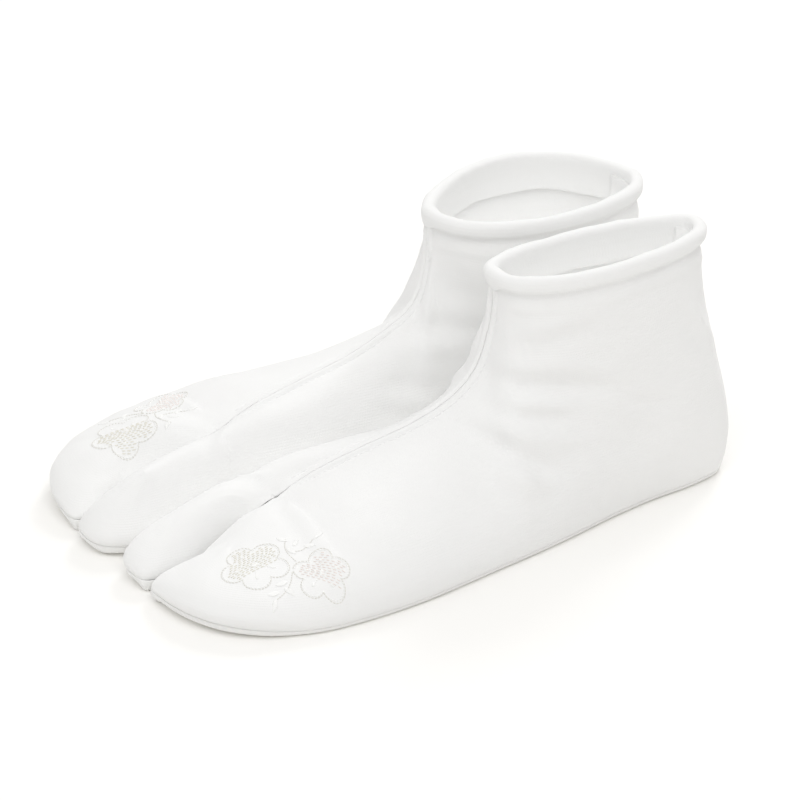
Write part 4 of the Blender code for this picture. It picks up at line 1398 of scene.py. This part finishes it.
def place_camera(stage):
    """A long lens that looks down at the pair from the front, outer side of the left sock."""
    turn, tilt = radians(CAMERA_TURN), radians(CAMERA_TILT)
    back = np.array([sin(turn) * cos(tilt), -cos(turn) * cos(tilt), sin(tilt)])
    right = np.array([cos(turn), sin(turn), 0.0])
    aim = np.array([HEEL[0] + CAMERA_AIM[0], HEEL[1] + CAMERA_AIM[1], CAMERA_AIM[2]]) * MM
    spot = aim + back * CAMERA_DISTANCE * MM
    rows = np.column_stack([right, np.cross(back, right), back, spot])
    data = bpy.data.cameras.new("camera")
    data.sensor_width = CAMERA_SENSOR
    data.lens = stage.lens
    data.clip_end = CAMERA_SIGHT
    camera = bpy.data.objects.new("camera", data)
    bpy.context.scene.collection.objects.link(camera)
    camera.matrix_world = Matrix(rows.tolist() + [[0.0, 0.0, 0.0, 1.0]])
    bpy.context.scene.camera = camera


# ---------------------------------------------------------------- the add-on

class TabiClothSettings(bpy.types.PropertyGroup):
    """Sizes and colours of the knit."""

    wall: bpy.props.FloatProperty(
        name="Cloth Thickness", description="Thickness of the knit", default=0.0014, unit="LENGTH")
    course: bpy.props.FloatProperty(
        name="Course Height", description="Height of one row of loops", default=0.001, unit="LENGTH")
    wale: bpy.props.FloatProperty(
        name="Wale Width", description="Width of one column of loops", default=0.0012, unit="LENGTH")
    knit_depth: bpy.props.FloatProperty(
        name="Knit Relief", description="How strongly the loops show", default=0.12, subtype="FACTOR")
    fold_strength: bpy.props.FloatProperty(
        name="Fold Strength", description="How deep the creases are pressed", default=1.0, subtype="FACTOR")
    sheen: bpy.props.FloatProperty(
        name="Nap", description="Soft light caught by the raised fibres", default=0.2, subtype="FACTOR")
    knit_color: bpy.props.FloatVectorProperty(
        name="Knit Colour", description="Colour of the uppers and hems", default=(0.91, 0.91, 0.905),
        subtype="COLOR")
    sole_color: bpy.props.FloatVectorProperty(
        name="Sole Colour", description="Colour of the soles", default=(0.9, 0.9, 0.89),
        subtype="COLOR")


class TabiThreadSettings(bpy.types.PropertyGroup):
    """Sizes and colours of the sewing and embroidery threads."""

    seam_width: bpy.props.FloatProperty(
        name="Seam Thread", description="Width of the seam thread", default=0.0004, unit="LENGTH")
    embroidery_width: bpy.props.FloatProperty(
        name="Embroidery Thread", description="Width of the embroidery thread", default=0.00042,
        unit="LENGTH")
    seam_color: bpy.props.FloatVectorProperty(
        name="Seam Thread Colour", description="Colour of the seam thread", default=(0.9, 0.9, 0.9),
        subtype="COLOR")
    satin_color: bpy.props.FloatVectorProperty(
        name="Satin Thread Colour", description="White glossy thread", default=(0.95, 0.95, 0.94),
        subtype="COLOR")
    beige_color: bpy.props.FloatVectorProperty(
        name="Beige Thread Colour", description="Thread of the large blossom's rows",
        default=(0.80, 0.78, 0.70), subtype="COLOR")
    blush_color: bpy.props.FloatVectorProperty(
        name="Blush Thread Colour", description="Thread of the small blossom's rows",
        default=(0.86, 0.79, 0.76), subtype="COLOR")
    outline_color: bpy.props.FloatVectorProperty(
        name="Outline Thread Colour", description="Thread of the outlines and stems",
        default=(0.80, 0.79, 0.75), subtype="COLOR")


class TabiStageSettings(bpy.types.PropertyGroup):
    """The floor, the lights and the lens."""

    floor_size: bpy.props.FloatProperty(
        name="Floor Size", description="Width of the floor", default=6.0, unit="LENGTH")
    floor_color: bpy.props.FloatVectorProperty(
        name="Floor Colour", description="Colour of the floor", default=(0.98, 0.972, 0.955),
        subtype="COLOR")
    horizon: bpy.props.FloatProperty(
        name="Horizon", description="Strength of the white surround at the horizon", default=0.32)
    overhead: bpy.props.FloatProperty(
        name="Overhead", description="Strength of the white surround overhead", default=0.9)
    surround_color: bpy.props.FloatVectorProperty(
        name="Surround Colour", description="Colour of the surround", default=(1.0, 0.995, 0.985),
        subtype="COLOR")
    back_power: bpy.props.FloatProperty(
        name="Back Softbox Power", description="Power of the light behind", default=6.0, unit="POWER")
    back_size: bpy.props.FloatProperty(
        name="Back Softbox Size", description="Width of the light behind", default=0.5, unit="LENGTH")
    back_place: bpy.props.FloatVectorProperty(
        name="Back Softbox Place", description="Where the light behind hangs", default=(-0.8, 0.95, 1.0),
        subtype="TRANSLATION")
    front_power: bpy.props.FloatProperty(
        name="Front Softbox Power", description="Power of the light in front", default=9.5, unit="POWER")
    front_size: bpy.props.FloatProperty(
        name="Front Softbox Size", description="Width of the light in front", default=1.2, unit="LENGTH")
    front_place: bpy.props.FloatVectorProperty(
        name="Front Softbox Place", description="Where the light in front hangs", default=(0.9, -0.45, 1.5),
        subtype="TRANSLATION")
    toe_power: bpy.props.FloatProperty(
        name="Toe Softbox Power", description="Power of the light before the toes", default=1.2,
        unit="POWER")
    toe_size: bpy.props.FloatProperty(
        name="Toe Softbox Size", description="Width of the light before the toes", default=0.8,
        unit="LENGTH")
    toe_place: bpy.props.FloatVectorProperty(
        name="Toe Softbox Place", description="Where the light before the toes hangs",
        default=(-0.7, -1.3, 1.0), subtype="TRANSLATION")
    glow_power: bpy.props.FloatProperty(
        name="Glow in the Ankles", description="Stands for the light that comes through the thin knit",
        default=0.007, unit="POWER")
    lens: bpy.props.FloatProperty(
        name="Lens", description="Focal length", default=261.2, subtype="DISTANCE_CAMERA")


class TABI_OT_stage(bpy.types.Operator):
    """Lay the floor, hang the lights and set up the camera"""

    bl_idname = "tabi.stage"
    bl_label = "Set the Stage"

    def execute(self, context):
        stage = context.scene.tabi_stage
        make_floor(stage)
        light_stage(stage)
        place_camera(stage)
        return {"FINISHED"}


class TABI_OT_panels(bpy.types.Operator):
    """Make the outer and inner panels of both socks"""

    bl_idname = "tabi.panels"
    bl_label = "Make the Panels"

    def execute(self, context):
        for sock in SOCKS:
            for side, side_name in SIDES:
                make_upper(sock, side, side_name, context.scene.tabi_cloth, white_knit(context))
        return {"FINISHED"}


class TABI_OT_soles(bpy.types.Operator):
    """Make both soles with their turned-up edges"""

    bl_idname = "tabi.soles"
    bl_label = "Make the Soles"

    def execute(self, context):
        for sock in SOCKS:
            make_sole(sock, context.scene.tabi_cloth, sole_knit(context))
        return {"FINISHED"}


class TABI_OT_collars(bpy.types.Operator):
    """Make the rolled hems and the back flaps of both collars"""

    bl_idname = "tabi.collars"
    bl_label = "Make the Collars"

    def execute(self, context):
        for sock in SOCKS:
            make_hem(sock, white_knit(context))
            make_back_flap(sock, white_knit(context))
        return {"FINISHED"}


class TABI_OT_seams(bpy.types.Operator):
    """Sew the rows of stitches beside both front seams"""

    bl_idname = "tabi.seams"
    bl_label = "Sew the Front Seams"

    def execute(self, context):
        for sock in SOCKS:
            make_front_stitches(sock, context.scene.tabi_cloth, context.scene.tabi_thread)
        return {"FINISHED"}


class TABI_OT_embroidery(bpy.types.Operator):
    """Embroider the blossoms on the outer toes of both socks"""

    bl_idname = "tabi.embroidery"
    bl_label = "Embroider the Toes"

    def execute(self, context):
        for sock in SOCKS:
            make_embroidery(sock, context.scene.tabi_thread)
        return {"FINISHED"}


OPERATORS = (
    TABI_OT_stage, TABI_OT_soles, TABI_OT_panels, TABI_OT_collars, TABI_OT_seams, TABI_OT_embroidery,
)
SETTINGS = (TabiClothSettings, TabiThreadSettings, TabiStageSettings)


class TABI_PT_panel(bpy.types.Panel):
    """The steps of making the pair, in order"""

    bl_idname = "TABI_PT_panel"
    bl_label = "Tabi Socks"
    bl_space_type = "VIEW_3D"
    bl_region_type = "UI"
    bl_category = "Tabi"

    def draw(self, context):
        for group in (context.scene.tabi_cloth, context.scene.tabi_thread, context.scene.tabi_stage):
            for name in group.bl_rna.properties.keys():
                if name not in ("rna_type", "name"):
                    self.layout.prop(group, name)
        for operator in OPERATORS:
            self.layout.operator(operator.bl_idname)


def register():
    for kind in SETTINGS + OPERATORS + (TABI_PT_panel,):
        bpy.utils.register_class(kind)
    scene = bpy.types.Scene
    scene.tabi_cloth = bpy.props.PointerProperty(type=TabiClothSettings)
    scene.tabi_thread = bpy.props.PointerProperty(type=TabiThreadSettings)
    scene.tabi_stage = bpy.props.PointerProperty(type=TabiStageSettings)


def unregister():
    for name in ("tabi_cloth", "tabi_thread", "tabi_stage"):
        delattr(bpy.types.Scene, name)
    for kind in reversed(SETTINGS + OPERATORS + (TABI_PT_panel,)):
        bpy.utils.unregister_class(kind)


def main():
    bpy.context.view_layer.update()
    register()
    bpy.ops.tabi.stage()
    bpy.ops.tabi.soles()
    bpy.ops.tabi.panels()
    bpy.ops.tabi.collars()
    bpy.ops.tabi.seams()
    bpy.ops.tabi.embroidery()


if __name__ == "__main__":
    main()
